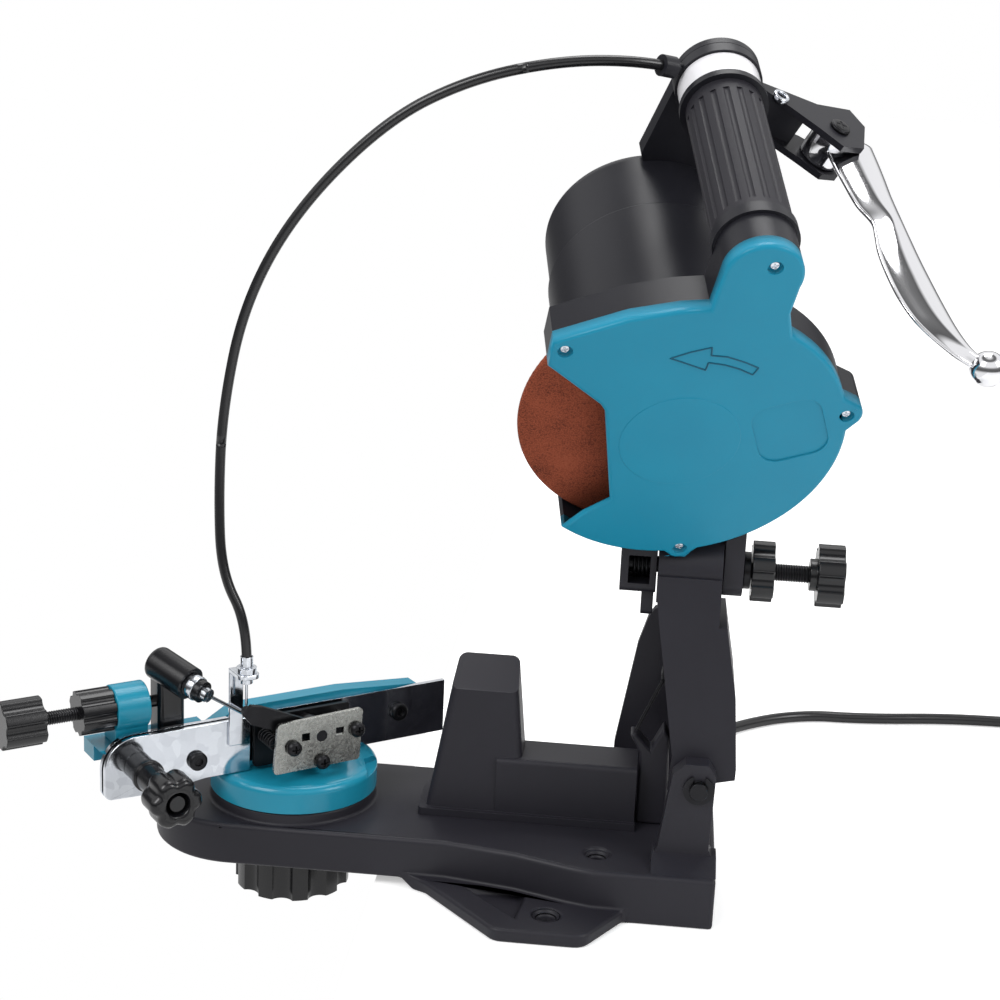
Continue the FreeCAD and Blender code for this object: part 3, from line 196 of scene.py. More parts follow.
def moulded(name, dark, light, roughness, grain_mm, grain_deep_mm, reflection=0.25):
    """Moulded plastic: slow clouds from dark to light where the melt flowed, under the mould's own grain."""
    material, tree = new_material(name)
    at = add(tree, "ShaderNodeTexCoord").outputs["Object"]
    cloud = add(tree, "ShaderNodeTexNoise", {"Vector": at, "Scale": MELT_CLOUDS, "Detail": 4.0})
    shade = add(tree, "ShaderNodeMix", {0: cloud.outputs[0], 6: linear(dark), 7: linear(light)},
                data_type="RGBA")
    gloss = add(tree, "ShaderNodeMapRange", {"Value": cloud.outputs[0], "To Min": roughness - 0.05,
                                             "To Max": roughness + 0.07})
    grain = add(tree, "ShaderNodeTexNoise", {"Vector": at, "Scale": 1000 / grain_mm, "Detail": 3.0})
    bump = add(tree, "ShaderNodeBump", {"Height": grain.outputs[0], "Strength": 0.6,
                                        "Distance": grain_deep_mm / 1000})
    shader = add(tree, "ShaderNodeBsdfPrincipled", {"Base Color": shade.outputs[2],
                                                    "Roughness": gloss.outputs[0], "IOR": 1.54,
                                                    "Specular IOR Level": reflection,
                                                    "Normal": bump.outputs[0]})
    add(tree, "ShaderNodeOutputMaterial", {"Surface": shader.outputs[0]})
    return material


FLAT_WITHIN, SHARP_OVER = math.radians(0.8), math.radians(32)
FINE_SHARE = 0.1
PLATE_AREA, PLATE_CORNERS = 100e-6, 9


def dressed(material, slot, edge_mm, *names, segments=3, fine=(), clamp=True, rounds=None):
    """CAD pieces with their facets merged into faces and their sharp edges rounded to edge_mm, on their
    bodies. Edges inside a fine place, given as (centre, radius) in mm, are rounded to FINE_SHARE of that.
    Plates with many corners are shaded flat. rounds(point) says, where given, which edges are rounded."""
    made = []
    for name in names:
        node = frame["nodes"][name]
        shell = bmesh.new()
        shell.from_mesh(node.data)
        bmesh.ops.remove_doubles(shell, verts=shell.verts, dist=2e-6)
        bmesh.ops.dissolve_limit(shell, angle_limit=FLAT_WITHIN, verts=shell.verts, edges=shell.edges)
        weight = shell.edges.layers.float.new("bevel_weight_edge")
        for edge in shell.edges:
            if len(edge.link_faces) == 2 and edge.calc_face_angle(0) > SHARP_OVER:
                if rounds and not all(rounds(end.co * 1000) for end in edge.verts):
                    continue
                middle = (edge.verts[0].co + edge.verts[1].co) * 500
                close = any((middle - Vector(at)).length < radius for at, radius in fine)
                edge[weight] = FINE_SHARE if close else 1.0
        mesh = bpy.data.meshes.new(name + "_skin")
        shell.to_mesh(mesh)
        shell.free()
        area, corners = np.empty(len(mesh.polygons)), np.empty(len(mesh.polygons), int)
        mesh.polygons.foreach_get("area", area)
        mesh.polygons.foreach_get("loop_total", corners)
        mesh.polygons.foreach_set("use_smooth", (area < PLATE_AREA) | (corners < PLATE_CORNERS))
        mesh.materials.append(material)
        piece = bpy.data.objects.new(name + "_skin", mesh)
        scene.collection.objects.link(piece)
        edges = piece.modifiers.new("soft_edges", "BEVEL")
        edges.width, edges.segments = edge_mm / 1000, segments
        edges.limit_method, edges.use_clamp_overlap = "WEIGHT", clamp
        flats = piece.modifiers.new("flat_faces", "WEIGHTED_NORMAL")
        flats.mode, flats.weight, flats.keep_sharp = "FACE_AREA", 80, False
        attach(piece, node["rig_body"])
        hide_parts(name)
        made.append(piece)
    return made


def painted(material, slot, *names):
    """CAD pieces whose own mesh is shown as it is, with their finish on them."""
    for name in names:
        node = frame["nodes"][name]
        node.data.materials.clear()
        node.data.materials.append(material)


charcoal = moulded("spark_eroded_charcoal_abs", "#222127", "#2A2930", 0.44, 0.45, 0.05)
dressed(charcoal, "charcoal_plastic", 1.8, "base_casting", clamp=False)
dressed(charcoal, "charcoal_plastic", 0.5, "guide_block")
dressed(charcoal, "charcoal_plastic", 1.6, "cheek_near", "cheek_far", "spring_horn")

# ------------------------------------------------------------------ lock knob
# Black ABS hand nut under the nose: it draws the turntable's stem down on its seat.
# Moulded in a polished tool, so it is glossier than the base.
black_gloss = moulded("polished_black_abs", "#0F0F12", "#151518", 0.22, 0.8, 0.01, 0.42)
dressed(black_gloss, "black_plastic", 1.6, "lock_knob")

# ------------------------------------------------------------------ turntable and vice bridge
# Zinc die castings in teal powder coat: a round table, turned to the filing angle, and the bridge on it
# that carries the rails. The coat is thick and glossy, with a slight orange peel.
COAT_CLOUDS = 30.0  # to a metre, so each is about 33 mm across


def powder_coat(name, dark, light, roughness, peel_mm, peel_deep_mm):
    """Baked polyester powder: a clear glossy skin with the ripple, about 1.5 mm wide, that it sets in."""
    material, tree = new_material(name)
    at = add(tree, "ShaderNodeTexCoord").outputs["Object"]
    cloud = add(tree, "ShaderNodeTexNoise", {"Vector": at, "Scale": COAT_CLOUDS, "Detail": 3.0})
    shade = add(tree, "ShaderNodeMix", {0: cloud.outputs[0], 6: linear(dark), 7: linear(light)},
                data_type="RGBA")
    peel = add(tree, "ShaderNodeTexNoise", {"Vector": at, "Scale": 1000 / peel_mm, "Detail": 1.0})
    bump = add(tree, "ShaderNodeBump", {"Height": peel.outputs[0], "Strength": 0.5,
                                        "Distance": peel_deep_mm / 1000})
    shader = add(tree, "ShaderNodeBsdfPrincipled", {"Base Color": shade.outputs[2], "Roughness": roughness,
                                                    "IOR": 1.5, "Specular IOR Level": 0.3,
                                                    "Coat Weight": 0.15, "Coat Roughness": 0.1,
                                                    "Normal": bump.outputs[0]})
    add(tree, "ShaderNodeOutputMaterial", {"Surface": shader.outputs[0]})
    return material


teal_coat = powder_coat("teal_powder_coat", "#18829E", "#1F8EA9", 0.26, 1.6, 0.03)
dressed(teal_coat, "teal_paint", 1.6, "turntable", "vice_bridge")
dressed(teal_coat, "teal_paint", 1.2, "stop_bracket")

# ------------------------------------------------------------------ vice rails, clamp plate and cable anchor
# Steel strip, punched and bright zinc plated, whose crystals show as blue-grey spangle.
# The near rail is the brightest piece of the vice; two black socket screws hold it to the far one.
CRYSTAL_BEND_MM, CRYSTAL_SHIFT = 6.25, 0.004
ROLLING_LINES = 1400.0  # to a metre, 0.7 mm apart


def zinc_plate(name, dark, light, roughness, spangle_mm):
    """Bright zinc: crystals, each a little lighter or darker than the next, under fine rolling lines."""
    material, tree = new_material(name)
    at = add(tree, "ShaderNodeTexCoord").outputs["Object"]
    bent = add(tree, "ShaderNodeTexNoise", {"Vector": at, "Scale": 1000 / CRYSTAL_BEND_MM, "Detail": 2.0})
    moved = add(tree, "ShaderNodeVectorMath", {0: bent.outputs[1], 1: (CRYSTAL_SHIFT,) * 3, 2: at},
                operation="MULTIPLY_ADD")
    crystal = add(tree, "ShaderNodeTexVoronoi", {"Vector": moved.outputs[0], "Scale": 1000 / spangle_mm})
    cell = add(tree, "ShaderNodeSeparateColor", {0: crystal.outputs["Color"]})
    shade = add(tree, "ShaderNodeMix", {0: cell.outputs[0], 6: linear(dark), 7: linear(light)},
                data_type="RGBA")
    gloss = add(tree, "ShaderNodeMapRange", {"Value": cell.outputs[1], "To Min": roughness * 0.7,
                                             "To Max": roughness * 1.4})
    fine = add(tree, "ShaderNodeTexNoise", {"Vector": at, "Scale": ROLLING_LINES, "Detail": 2.0})
    bump = add(tree, "ShaderNodeBump", {"Height": fine.outputs[0], "Strength": 0.25, "Distance": 0.00003})
    shader = add(tree, "ShaderNodeBsdfPrincipled", {"Base Color": shade.outputs[2], "Metallic": 1.0,
                                                    "Roughness": gloss.outputs[0], "Normal": bump.outputs[0]})
    add(tree, "ShaderNodeOutputMaterial", {"Surface": shader.outputs[0]})
    return material


bright_zinc = zinc_plate("bright_zinc_plated_steel", "#CACED5", "#DBDFE5", 0.10, 5.0)
speckled_zinc = zinc_plate("speckled_zinc_plated_steel", "#9C9D99", "#AFB0AB", 0.22, 1.1)
dressed(bright_zinc, "zinc_steel", 0.5, "rail_front", "cable_anchor", segments=2)
dressed(bright_zinc, "black_steel", 0.5, "rail_rear", segments=2)
dressed(speckled_zinc, "zinc_steel", 0.35, "clamp_plate", segments=2)
dressed(bright_zinc, "zinc_steel", 0.3, "cable_ferrule", "inner_wire", "pawl", "disc_nut",
        "flange_outer", segments=2)

# ------------------------------------------------------------------ blackened steel of the vice
# The jaw, its spring and cam, the arm's pin with its clips, and the socket screws: steel in hot black
# oxide, lightly oiled. Springs and clips have thin edges, so their own mesh is shown.
RUBBED_PATCHES = 130.0  # to a metre, about 8 mm across


def black_oxide(name, dark, light, roughness):
    """Hot black oxide: a thin matt-blue skin on steel, rubbed a little brighter in patches."""
    material, tree = new_material(name)
    at = add(tree, "ShaderNodeTexCoord").outputs["Object"]
    rub = add(tree, "ShaderNodeTexNoise", {"Vector": at, "Scale": RUBBED_PATCHES, "Detail": 4.0})
    shade = add(tree, "ShaderNodeMix", {0: rub.outputs[0], 6: linear(dark), 7: linear(light)},
                data_type="RGBA")
    gloss = add(tree, "ShaderNodeMapRange", {"Value": rub.outputs[0], "To Min": roughness - 0.1,
                                             "To Max": roughness + 0.12})
    shader = add(tree, "ShaderNodeBsdfPrincipled", {"Base Color": shade.outputs[2], "Metallic": 0.75,
                                                    "Roughness": gloss.outputs[0]})
    add(tree, "ShaderNodeOutputMaterial", {"Surface": shader.outputs[0]})
    return material


blackened = black_oxide("black_oxide_steel", "#1A1A1C", "#2C2C2F", 0.34)
dressed(blackened, "black_steel", 0.4, "jaw_plate", "cam_arm", "pivot_pin", "rail_bolt_right",
        "rail_bolt_left", segments=2)
painted(blackened, "black_steel", "jaw_spring", "clip_near", "clip_far", "return_spring", "tilt_spring")

# ------------------------------------------------------------------ chain stop, front stud and their knobs
# Black ABS hand knobs on black studs. The stop's post carries the bright pawl in an inclined tube and is
# pushed along by the stop screw, whose nut locks it.
dressed(black_gloss, "black_plastic", 0.9, "stop_nut", "front_stud", "stop_post", "stop_screw")

# ------------------------------------------------------------------ swing arm and yoke
# The arm is a channel of the base's own ABS that narrows upwards. The yoke is its head and carries the
# motor on the tilt bolt. Both are moulded with their ribs.
dressed(charcoal, "charcoal_plastic", 1.4, "swing_arm", "yoke")

# ------------------------------------------------------------------ tilt bolt and its knobs
# A blackened M8 stud through the yoke. A star nut on it locks the tilt, and an end knob turns the stud.
# Both knobs are black ABS, moulded in a polished tool.
dressed(blackened, "black_steel", 0.4, "tilt_bolt", segments=2)
dressed(black_gloss, "black_plastic", 1.1, "tilt_knob", "end_knob")

# ------------------------------------------------------------------ motor, switch and rotor
# Black ABS can in two steps behind the guard, with a rocker switch in its back; inside it a wound stator
# and a rotor in two ball bearings.
black_satin = moulded("satin_black_abs", "#1B1B20", "#232329", 0.36, 0.6, 0.03)
dressed(black_satin, "black_plastic", 1.0, "motor_housing", "motor_cap", "switch_body")
dressed(black_gloss, "black_plastic", 0.6, "rocker")
ground_steel = zinc_plate("ground_bearing_steel", "#B9BCC0", "#D2D4D8", 0.2, 3.0)
painted(ground_steel, "bearing_steel", "bearing_front", "bearing_rear")
# Baked varnish on laminations is as thin and patchy as the oxide, so it is made the same way, in brown.
varnished = black_oxide("varnished_lamination_stack", "#5A3A22", "#7A5030", 0.4)
painted(varnished, "winding_steel", "stator", "rotor")

# ------------------------------------------------------------------ grinding disc
# Brown fused alumina bonded in resin, 145 mm across: coarse grit, with painted shade in the pits.
# The flange and its nut hold it on the motor's shaft.
WORN_PATCHES = 60.0  # to a metre, about 17 mm across


def bonded_grit(name, pit_painted_shade, body, top_painted_highlight, grit_mm):
    """Bonded wheel: grains about grit_mm wide, with painted shade in their pits and a painted highlight on
    top.
    """
    material, tree = new_material(name)
    at = add(tree, "ShaderNodeTexCoord").outputs["Object"]
    grain = add(tree, "ShaderNodeTexVoronoi", {"Vector": at, "Scale": 1000 / grit_mm})
    wear = add(tree, "ShaderNodeTexNoise", {"Vector": at, "Scale": WORN_PATCHES, "Detail": 5.0})
    height = add(tree, "ShaderNodeMath", {0: grain.outputs["Distance"], 1: wear.outputs[0]},
                 operation="MULTIPLY")
    # Low cells between the grains take painted shade, and the grain tops a painted highlight, on the height
    # that the bump raises.
    ramp = add(tree, "ShaderNodeValToRGB", {"Fac": height.outputs[0]})
    ramp.color_ramp.elements[0].color = linear(top_painted_highlight)
    ramp.color_ramp.elements[0].position = 0.05
    ramp.color_ramp.elements[1].color = linear(pit_painted_shade)
    ramp.color_ramp.elements[1].position = 0.5
    ramp.color_ramp.elements.new(0.22).color = linear(body)
    bump = add(tree, "ShaderNodeBump", {"Height": grain.outputs["Distance"], "Strength": 0.7,
                                        "Distance": 0.0002}, invert=True)
    shader = add(tree, "ShaderNodeBsdfPrincipled", {"Base Color": ramp.outputs[0], "Roughness": 0.85,
                                                    "Specular IOR Level": 0.25, "Normal": bump.outputs[0]})
    add(tree, "ShaderNodeOutputMaterial", {"Surface": shader.outputs[0]})
    return material


# Its first colour is painted shade for the pits, and its last a painted highlight for the grain tops.
alumina = bonded_grit("brown_fused_alumina", "#5E2C1D", "#8C442D", "#9C5138", 0.7)
dressed(alumina, "abrasive", 0.4, "grinding_disc", segments=2)

# ------------------------------------------------------------------ disc guard
# Teal ABS cover on a black rear shell. Its rim is rounded, the face carries a turning arrow and a plain
# sunk oval, and four bright cross-head screws sit in counterbores.
HEAD_AT, HEAD_LEAN, HEAD_TILT = Vector((45.0, -49.0, 249.7)), math.radians(17.5), math.radians(33.4)
HEAD = (Matrix.Translation(HEAD_AT) @ Matrix.Rotation(-HEAD_LEAN, 4, "Y")
        @ Matrix.Rotation(HEAD_TILT, 4, "X"))
GUARD_FACE, RING_FACE = -17.0, -17.3


def placed(points, matrix):
    """Points of the last axis carried by a 4 x 4 matrix, all in mm."""
    turn = np.array(matrix.to_3x3())
    return points @ turn.T + np.array(matrix.translation)


def skin(name, points, material, body, ring=False):
    """Quad mesh over a (rows, columns, 3) grid in mm. Columns close round. Rows close round too if ring is
    set, and otherwise end in a cap."""
    rows, columns = points.shape[:2]
    index = np.arange(rows * columns).reshape(rows, columns)
    low = index if ring else index[:-1]
    high = np.roll(index, -1, 0) if ring else index[1:]
    quads = np.stack((low, np.roll(low, -1, 1), np.roll(high, -1, 1), high), -1).reshape(-1, 4).tolist()
    if not ring:
        quads += [index[0, ::-1].tolist(), index[-1].tolist()]
    mesh = bpy.data.meshes.new(name)
    mesh.from_pydata((points.reshape(-1, 3) / 1000).tolist(), [], quads)
    shell = bmesh.new()
    shell.from_mesh(mesh)
    bmesh.ops.remove_doubles(shell, verts=shell.verts, dist=1e-7)
    bmesh.ops.recalc_face_normals(shell, faces=shell.faces)
    shell.to_mesh(mesh)
    shell.free()
    mesh.polygons.foreach_set("use_smooth", np.ones(len(mesh.polygons), bool))
    mesh.materials.append(material)
    piece = bpy.data.objects.new(name, mesh)
    scene.collection.objects.link(piece)
    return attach(piece, body) if body else piece


def tube(path, radius, around=16):
    """Grid of circles of radius round a path: each stands square to the path's own direction T, on the axes
    N = Y - (Y.T)T made unit long and T x N, where Y points away from the operator."""
    ahead = np.gradient(path, axis=0)
    ahead /= np.linalg.norm(ahead, axis=1)[:, None]
    away = np.array((0.0, 1.0, 0.0))
    side = away - (ahead @ away)[:, None] * ahead
    side /= np.linalg.norm(side, axis=1)[:, None]
    other = np.cross(ahead, side)
    angle = np.linspace(0, 2 * np.pi, around, endpoint=False)[None, :, None]
    radius = np.broadcast_to(np.asarray(radius, float), (len(path),))[:, None, None]
    return path[:, None] + radius * (np.cos(angle) * side[:, None] + np.sin(angle) * other[:, None])


RECESS_FLANK, RECESS_DEPTH = 0.25, 0.75


def screw_head(radius, high, slot_long, slot_wide):
    """Pan head: height high (1 - (r / R)^6), less a cross recess whose arms are slot_long by slot_wide. It is
    RECESS_DEPTH of the height deep and its flanks fall over RECESS_FLANK mm. The grid runs in r and angle."""
    r = np.concatenate(([radius, radius], np.linspace(radius * 0.98, 0.02, 26)))[:, None]
    angle = np.linspace(0, 2 * np.pi, 96, endpoint=False)[None, :]
    x, y = r * np.cos(angle), r * np.sin(angle)
    top = high * (1 - (r / radius) ** 6) + 0 * angle
    arm = np.maximum(np.minimum(slot_wide - np.abs(x), slot_long - np.abs(y)),
                     np.minimum(slot_wide - np.abs(y), slot_long - np.abs(x)))
    top = top - np.clip(arm / RECESS_FLANK, 0, 1) * high * RECESS_DEPTH
    top[0] = -high
    return np.stack((x, y, top), -1)


SCREWS = ((-36.0, 70.5), (58.5, 88.0), (75.0, -9.0), (-14.8, -72.5))
FINE_PLACES = [((across, GUARD_FACE, along), 4.6) for across, along in SCREWS]
FINE_PLACES += [((0, RING_FACE, 0), 30.0), ((49, GUARD_FACE, -10), 26.0)]
teal_abs = moulded("teal_moulded_abs", "#0C80A0", "#148CAB", 0.34, 0.5, 0.02)
from_head = HEAD.inverted()
dressed(teal_abs, "teal_plastic", 1.8, "guard_front", segments=4, clamp=False,
        fine=[(HEAD @ Vector(at), radius) for at, radius in FINE_PLACES],
        rounds=lambda point: (from_head @ point).y < GUARD_FACE + 0.05)
dressed(black_satin, "black_plastic", 1.0, "guard_rear")

face_out = Matrix.Rotation(math.radians(90), 4, "X")
COUNTERBORE = 2.3
for number, (across, along) in enumerate(SCREWS):
    seat = HEAD @ Matrix.Translation((across, GUARD_FACE + COUNTERBORE, along)) @ face_out
    bright_head = screw_head(radius=2.5, high=0.9, slot_long=1.5, slot_wide=0.4)
    skin(f"guard_screw_{number + 1}", placed(bright_head, seat), bright_zinc, "head")

ARROW = [(6.4, 52.1), (15.5, 52.9), (24.9, 52.6), (23.7, 48.0), (30.3, 44.9), (37.2, 39.0), (42.0, 33.9),
         (40.4, 32.2), (38.8, 30.7), (33.9, 36.0), (28.2, 40.6), (21.7, 44.2), (19.6, 40.2), (12.9, 46.4)]
# The arrow's outline is a thin bead half sunk in the face, in a darker teal that is painted shade, so it
# reads as a groove.
arrow_painted_shade = moulded("teal_abs_in_shadow", "#0A5068", "#0C5870", 0.4, 0.5, 0.02)
ARROW_STEPS, ARROW_BEAD, ARROW_PROUD = 160, 0.42, 0.02
corners = np.array(ARROW + ARROW[:1])
run = np.concatenate(([0], np.cumsum(np.linalg.norm(np.diff(corners, axis=0), axis=1))))
steps = np.linspace(0, run[-1], ARROW_STEPS, endpoint=False)
arrow_line = np.stack((np.interp(steps, run, corners[:, 0]), np.full(ARROW_STEPS, GUARD_FACE - ARROW_PROUD),
                       np.interp(steps, run, corners[:, 1])), -1)
arrow_ring = tube(np.concatenate((arrow_line[-1:], arrow_line, arrow_line[:1])), ARROW_BEAD, 10)[1:-1]
skin("guard_arrow", placed(arrow_ring, HEAD), arrow_painted_shade, "head", ring=True)

# ------------------------------------------------------------------ small turned pieces of the vice
# Black pan-head screws through the clamp plate, the chrome sleeve that the pawl turns in, and the near
# stud's hand knob: six shallow lobes, a rounded end and an open socket.
VICE_AT, VICE_YAW = Vector((-130.0, 0, 0)), math.radians(37.0)
VICE = Matrix.Translation(VICE_AT) @ Matrix.Rotation(VICE_YAW, 4, "Z")
CLAMP_FACE = -24.5
CLAMP_SCREWS = ((-21.5, 64.0), (-5.5, 54.0), (13.8, 68.0))
PAN_HIGH = 1.9
LOBED_OVER = 9.0
round_angle = np.linspace(0, 2 * np.pi, 72, endpoint=False)[None, :]


def turned(profile, lobes=0, lobe_deep=0.0):
    """Body of revolution: each (radius, height) of the profile swept round the third axis. With lobes the
    radius shrinks by lobe_deep sin^4(lobes angle / 2), where it is over LOBED_OVER."""
    profile = np.array(profile, float)
    dip = lobe_deep * np.sin(lobes * round_angle / 2) ** 4 * (profile[:, :1] > LOBED_OVER)
    reach = profile[:, :1] - dip
    return np.stack((reach * np.cos(round_angle), reach * np.sin(round_angle),
                     profile[:, 1:] + 0 * round_angle), -1)


for number, (across, high) in enumerate(CLAMP_SCREWS):
    seat = VICE @ Matrix.Translation((across, CLAMP_FACE - PAN_HIGH, high)) @ face_out
    black_head = screw_head(radius=3.9, high=PAN_HIGH, slot_long=2.1, slot_wide=0.5)
    skin(f"clamp_screw_{number + 1}", placed(black_head, seat), blackened, "turntable")

PAWL_FRONT, PAWL_BACK = Vector((-68.0, -4.0, 98.5)), Vector((-80.0, 24.0, 106.5))
pawl_turn = (PAWL_FRONT - PAWL_BACK).to_track_quat("Z", "Y").to_matrix().to_4x4()
sleeve = turned([(5.3, 0.2), (6.1, 0.2), (6.3, 0.5), (6.3, 5.6), (6.1, 5.9), (5.5, 5.9)])
skin("post_sleeve", placed(sleeve, VICE @ Matrix.Translation(PAWL_FRONT) @ pawl_turn), bright_zinc,
     "stop_post", ring=True)

KNOB_AT = (-95.0, -37.6, 60.0)
knob = turned([(4.1, 0.0), (9.5, 0.0), (11.6, 0.6), (12.6, 1.8), (12.9, 3.4), (12.9, 13.2), (12.5, 15.2),
               (11.2, 16.6), (9.4, 17.0), (6.4, 17.0), (5.9, 16.4), (5.8, 8.0), (4.1, 8.0)],
              lobes=6, lobe_deep=2.0)
near_knob = skin("near_hand_knob", placed(knob, VICE @ Matrix.Translation(KNOB_AT) @ face_out), black_gloss,
                 "front_knob", ring=True)
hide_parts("front_knob")

# ------------------------------------------------------------------ threads
# Rolled threads, M8 on the tilt stud and M6 on the stop screw, black like the rods that they are on.
# Each covers one bare stretch of its rod, and the rest of the rod is plain.


def thread(start, end, radius, pitch, deep):
    """Helical V thread: radius - deep |2 frac(h / pitch - angle / 2 pi) - 1|, h rising from start to end."""
    start, end = Vector(start), Vector(end)
    high = (end - start).length
    heights = np.linspace(0, high, int(high / pitch * 10))[:, None]
    angle = np.linspace(0, 2 * np.pi, 36, endpoint=False)[None, :]
    wave = np.abs(2 * ((heights / pitch - angle / (2 * np.pi)) % 1) - 1)
    r = radius - deep * wave
    points = np.stack((r * np.cos(angle), r * np.sin(angle), heights + 0 * angle), -1)
    lean = (end - start).to_track_quat("Z", "Y").to_matrix().to_4x4()
    return placed(points, Matrix.Translation(start) @ lean)


tilt_thread = thread((99.2, 0, 163), (116.4, 0, 163), radius=4.45, pitch=1.25, deep=0.6)
skin("tilt_stud_thread", tilt_thread, blackened, "head")
stop_thread = thread(VICE @ Vector((-137.8, 12.0, 86.0)), VICE @ Vector((-120.2, 12.0, 86.0)),
                     radius=3.4, pitch=1.2, deep=0.5)
skin("stop_screw_thread", stop_thread, blackened, "stop_screw")

# ------------------------------------------------------------------ handle
# A fluted soft PVC grip on a steel tube between the guard's lobe and the lever bracket, with a bright
# white band at its top and a black support that joins the handle to the motor.
soft_grip = moulded("fluted_soft_pvc", "#242328", "#2D2C32", 0.5, 0.35, 0.05, 0.22)
dressed(soft_grip, "grip_rubber", 0.6, "grip", segments=2)
dressed(black_satin, "black_plastic", 1.2, "handle_support", "lever_bracket")
band_white = moulded("glossy_white_band", "#DEDDE1", "#EBEAED", 0.16, 1.2, 0.01)
dressed(band_white, "white_band", 0.4, "handle_core", segments=2)
core = bpy.data.objects["handle_core_skin"].data
core.materials.append(black_satin)
centres = np.empty(len(core.polygons) * 3)
core.polygons.foreach_get("center", centres)
along = placed(centres.reshape(-1, 3) * 1000, HEAD.inverted())[:, 1]
BAND_FROM, BAND_TO = 103.6, 120.0
core.polygons.foreach_set("material_index", ((along < BAND_FROM) | (along > BAND_TO)).astype(int))

# ------------------------------------------------------------------ brake lever
# Die-cast aluminium, polished and chromed: a hub between the bracket's cheeks, a bent neck with a finger
# notch, a long blade of rounded section and a ball end.
WIPE_MARKS = 90.0  # to a metre, about 11 mm across


def chrome_plate(name, tint):
    """Polished chrome: a cool mirror with faint cloudy wipe marks."""
    material, tree = new_material(name)
    at = add(tree, "ShaderNodeTexCoord").outputs["Object"]
    wipe = add(tree, "ShaderNodeTexNoise", {"Vector": at, "Scale": WIPE_MARKS, "Detail": 3.0})
    gloss = add(tree, "ShaderNodeMapRange", {"Value": wipe.outputs[0], "To Min": 0.04, "To Max": 0.13})
    shader = add(tree, "ShaderNodeBsdfPrincipled", {"Base Color": linear(tint), "Metallic": 1.0,
                                                    "Roughness": gloss.outputs[0]})
    add(tree, "ShaderNodeOutputMaterial", {"Surface": shader.outputs[0]})
    return material


chrome = chrome_plate("polished_chrome", "#E9E9EC")
GRIP_AT, LEVER_TURN = (53.0, 0, 83.8), math.atan2(0.665, 0.747)
LEVER = HEAD @ Matrix.Translation(GRIP_AT) @ Matrix.Rotation(LEVER_TURN, 4, "Y")
LEVER_HALF, HUB_LOW, PIVOT = 4.0, -10.7, (60.8, 110.4)
# Outer and inner edge of the blade in the lever's own plane, from the hub to the ball.
OUTER = [(84.3, 113.4), (85.4, 103), (86.3, 92), (87, 79), (88, 69), (88.9, 60), (90.3, 50), (92.4, 36),
         (95, 22), (98, 8), (101.6, -6), (105.6, -16), (109.5, -20.5)]
INNER = [(56, 111), (57.2, 100), (59, 90), (61.5, 79.5), (65.4, 66), (71.8, 56.5), (71.4, 46), (70.2, 35),
         (71, 21), (74, 5), (80.5, -8.5), (93.5, -20), (105.5, -26)]


def through(points, count):
    """Catmull-Rom line: each stretch is the cubic that leaves along the chord of its neighbours."""
    points = np.array(points, float)
    padded = np.concatenate((2 * points[:1] - points[1:2], points, 2 * points[-1:] - points[-2:-1]))
    place = np.linspace(0, len(points) - 1, count)
    first = np.minimum(place.astype(int), len(points) - 2)
    t = (place - first)[:, None]
    a, b, c, d = (padded[first + shift] for shift in range(4))
    return 0.5 * (2 * b + (c - a) * t + (2 * a - 5 * b + 4 * c - d) * t ** 2
                  + (3 * b - a - 3 * c + d) * t ** 3)


# Each ring is a rounded oblong between the two edges, whose upper flank drops towards the inner one.
BLADE_RINGS, BLADE_AROUND, FLANK_DROP = 90, 40, 1.15
outer, inner = through(OUTER, BLADE_RINGS), through(INNER, BLADE_RINGS)
middle, reach = (outer + inner) / 2, (outer - inner) / 2
turn = np.linspace(0, 2 * np.pi, BLADE_AROUND, endpoint=False)
wide = np.sign(np.cos(turn)) * np.abs(np.cos(turn)) ** 0.9
deep = np.sign(np.sin(turn)) * np.abs(np.sin(turn)) ** 0.6
flank = np.where(deep > 0, FLANK_DROP * deep * np.clip(0.1 - wide, 0, 1) ** 1.3, 0.0)
thick = LEVER_HALF * np.interp(np.arange(BLADE_RINGS), (0, 60, BLADE_RINGS - 1), (1.0, 0.95, 0.75))
blade = np.concatenate((middle[:, None] + wide[None, :, None] * reach[:, None],
                        (thick[:, None] * (deep - flank)[None, :])[:, :, None]), -1)
skin("lever_blade", placed(blade, LEVER), chrome, "lever")

BALL_AT, BALL_R, HUB_R = (113.6, -24.9, 0.0), 8.0, 10.4
rise = np.linspace(-0.499 * np.pi, 0.499 * np.pi, 32)[:, None]
ball = np.stack((np.cos(rise) * np.cos(round_angle), np.cos(rise) * np.sin(round_angle),
                 np.sin(rise) + 0 * round_angle), -1) * BALL_R + np.array(BALL_AT)
skin("lever_ball", placed(ball, LEVER), chrome, "lever")
HUB_BORE = 3.1
hub_profile = np.array([(HUB_BORE, HUB_LOW), (HUB_R - 1, HUB_LOW), (HUB_R - 0.3, HUB_LOW + 0.3),
                        (HUB_R, HUB_LOW + 1), (HUB_R, LEVER_HALF - 1), (HUB_R - 0.3, LEVER_HALF - 0.3),
                        (HUB_R - 1, LEVER_HALF), (HUB_BORE, LEVER_HALF)])
hub = np.stack((hub_profile[:, :1] * np.cos(round_angle) + PIVOT[0],
                hub_profile[:, :1] * np.sin(round_angle) + PIVOT[1],
                hub_profile[:, 1:] + 0 * round_angle), -1)
lever_hub = skin("lever_hub", placed(hub, LEVER), chrome, "lever", ring=True)
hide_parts("brake_lever")

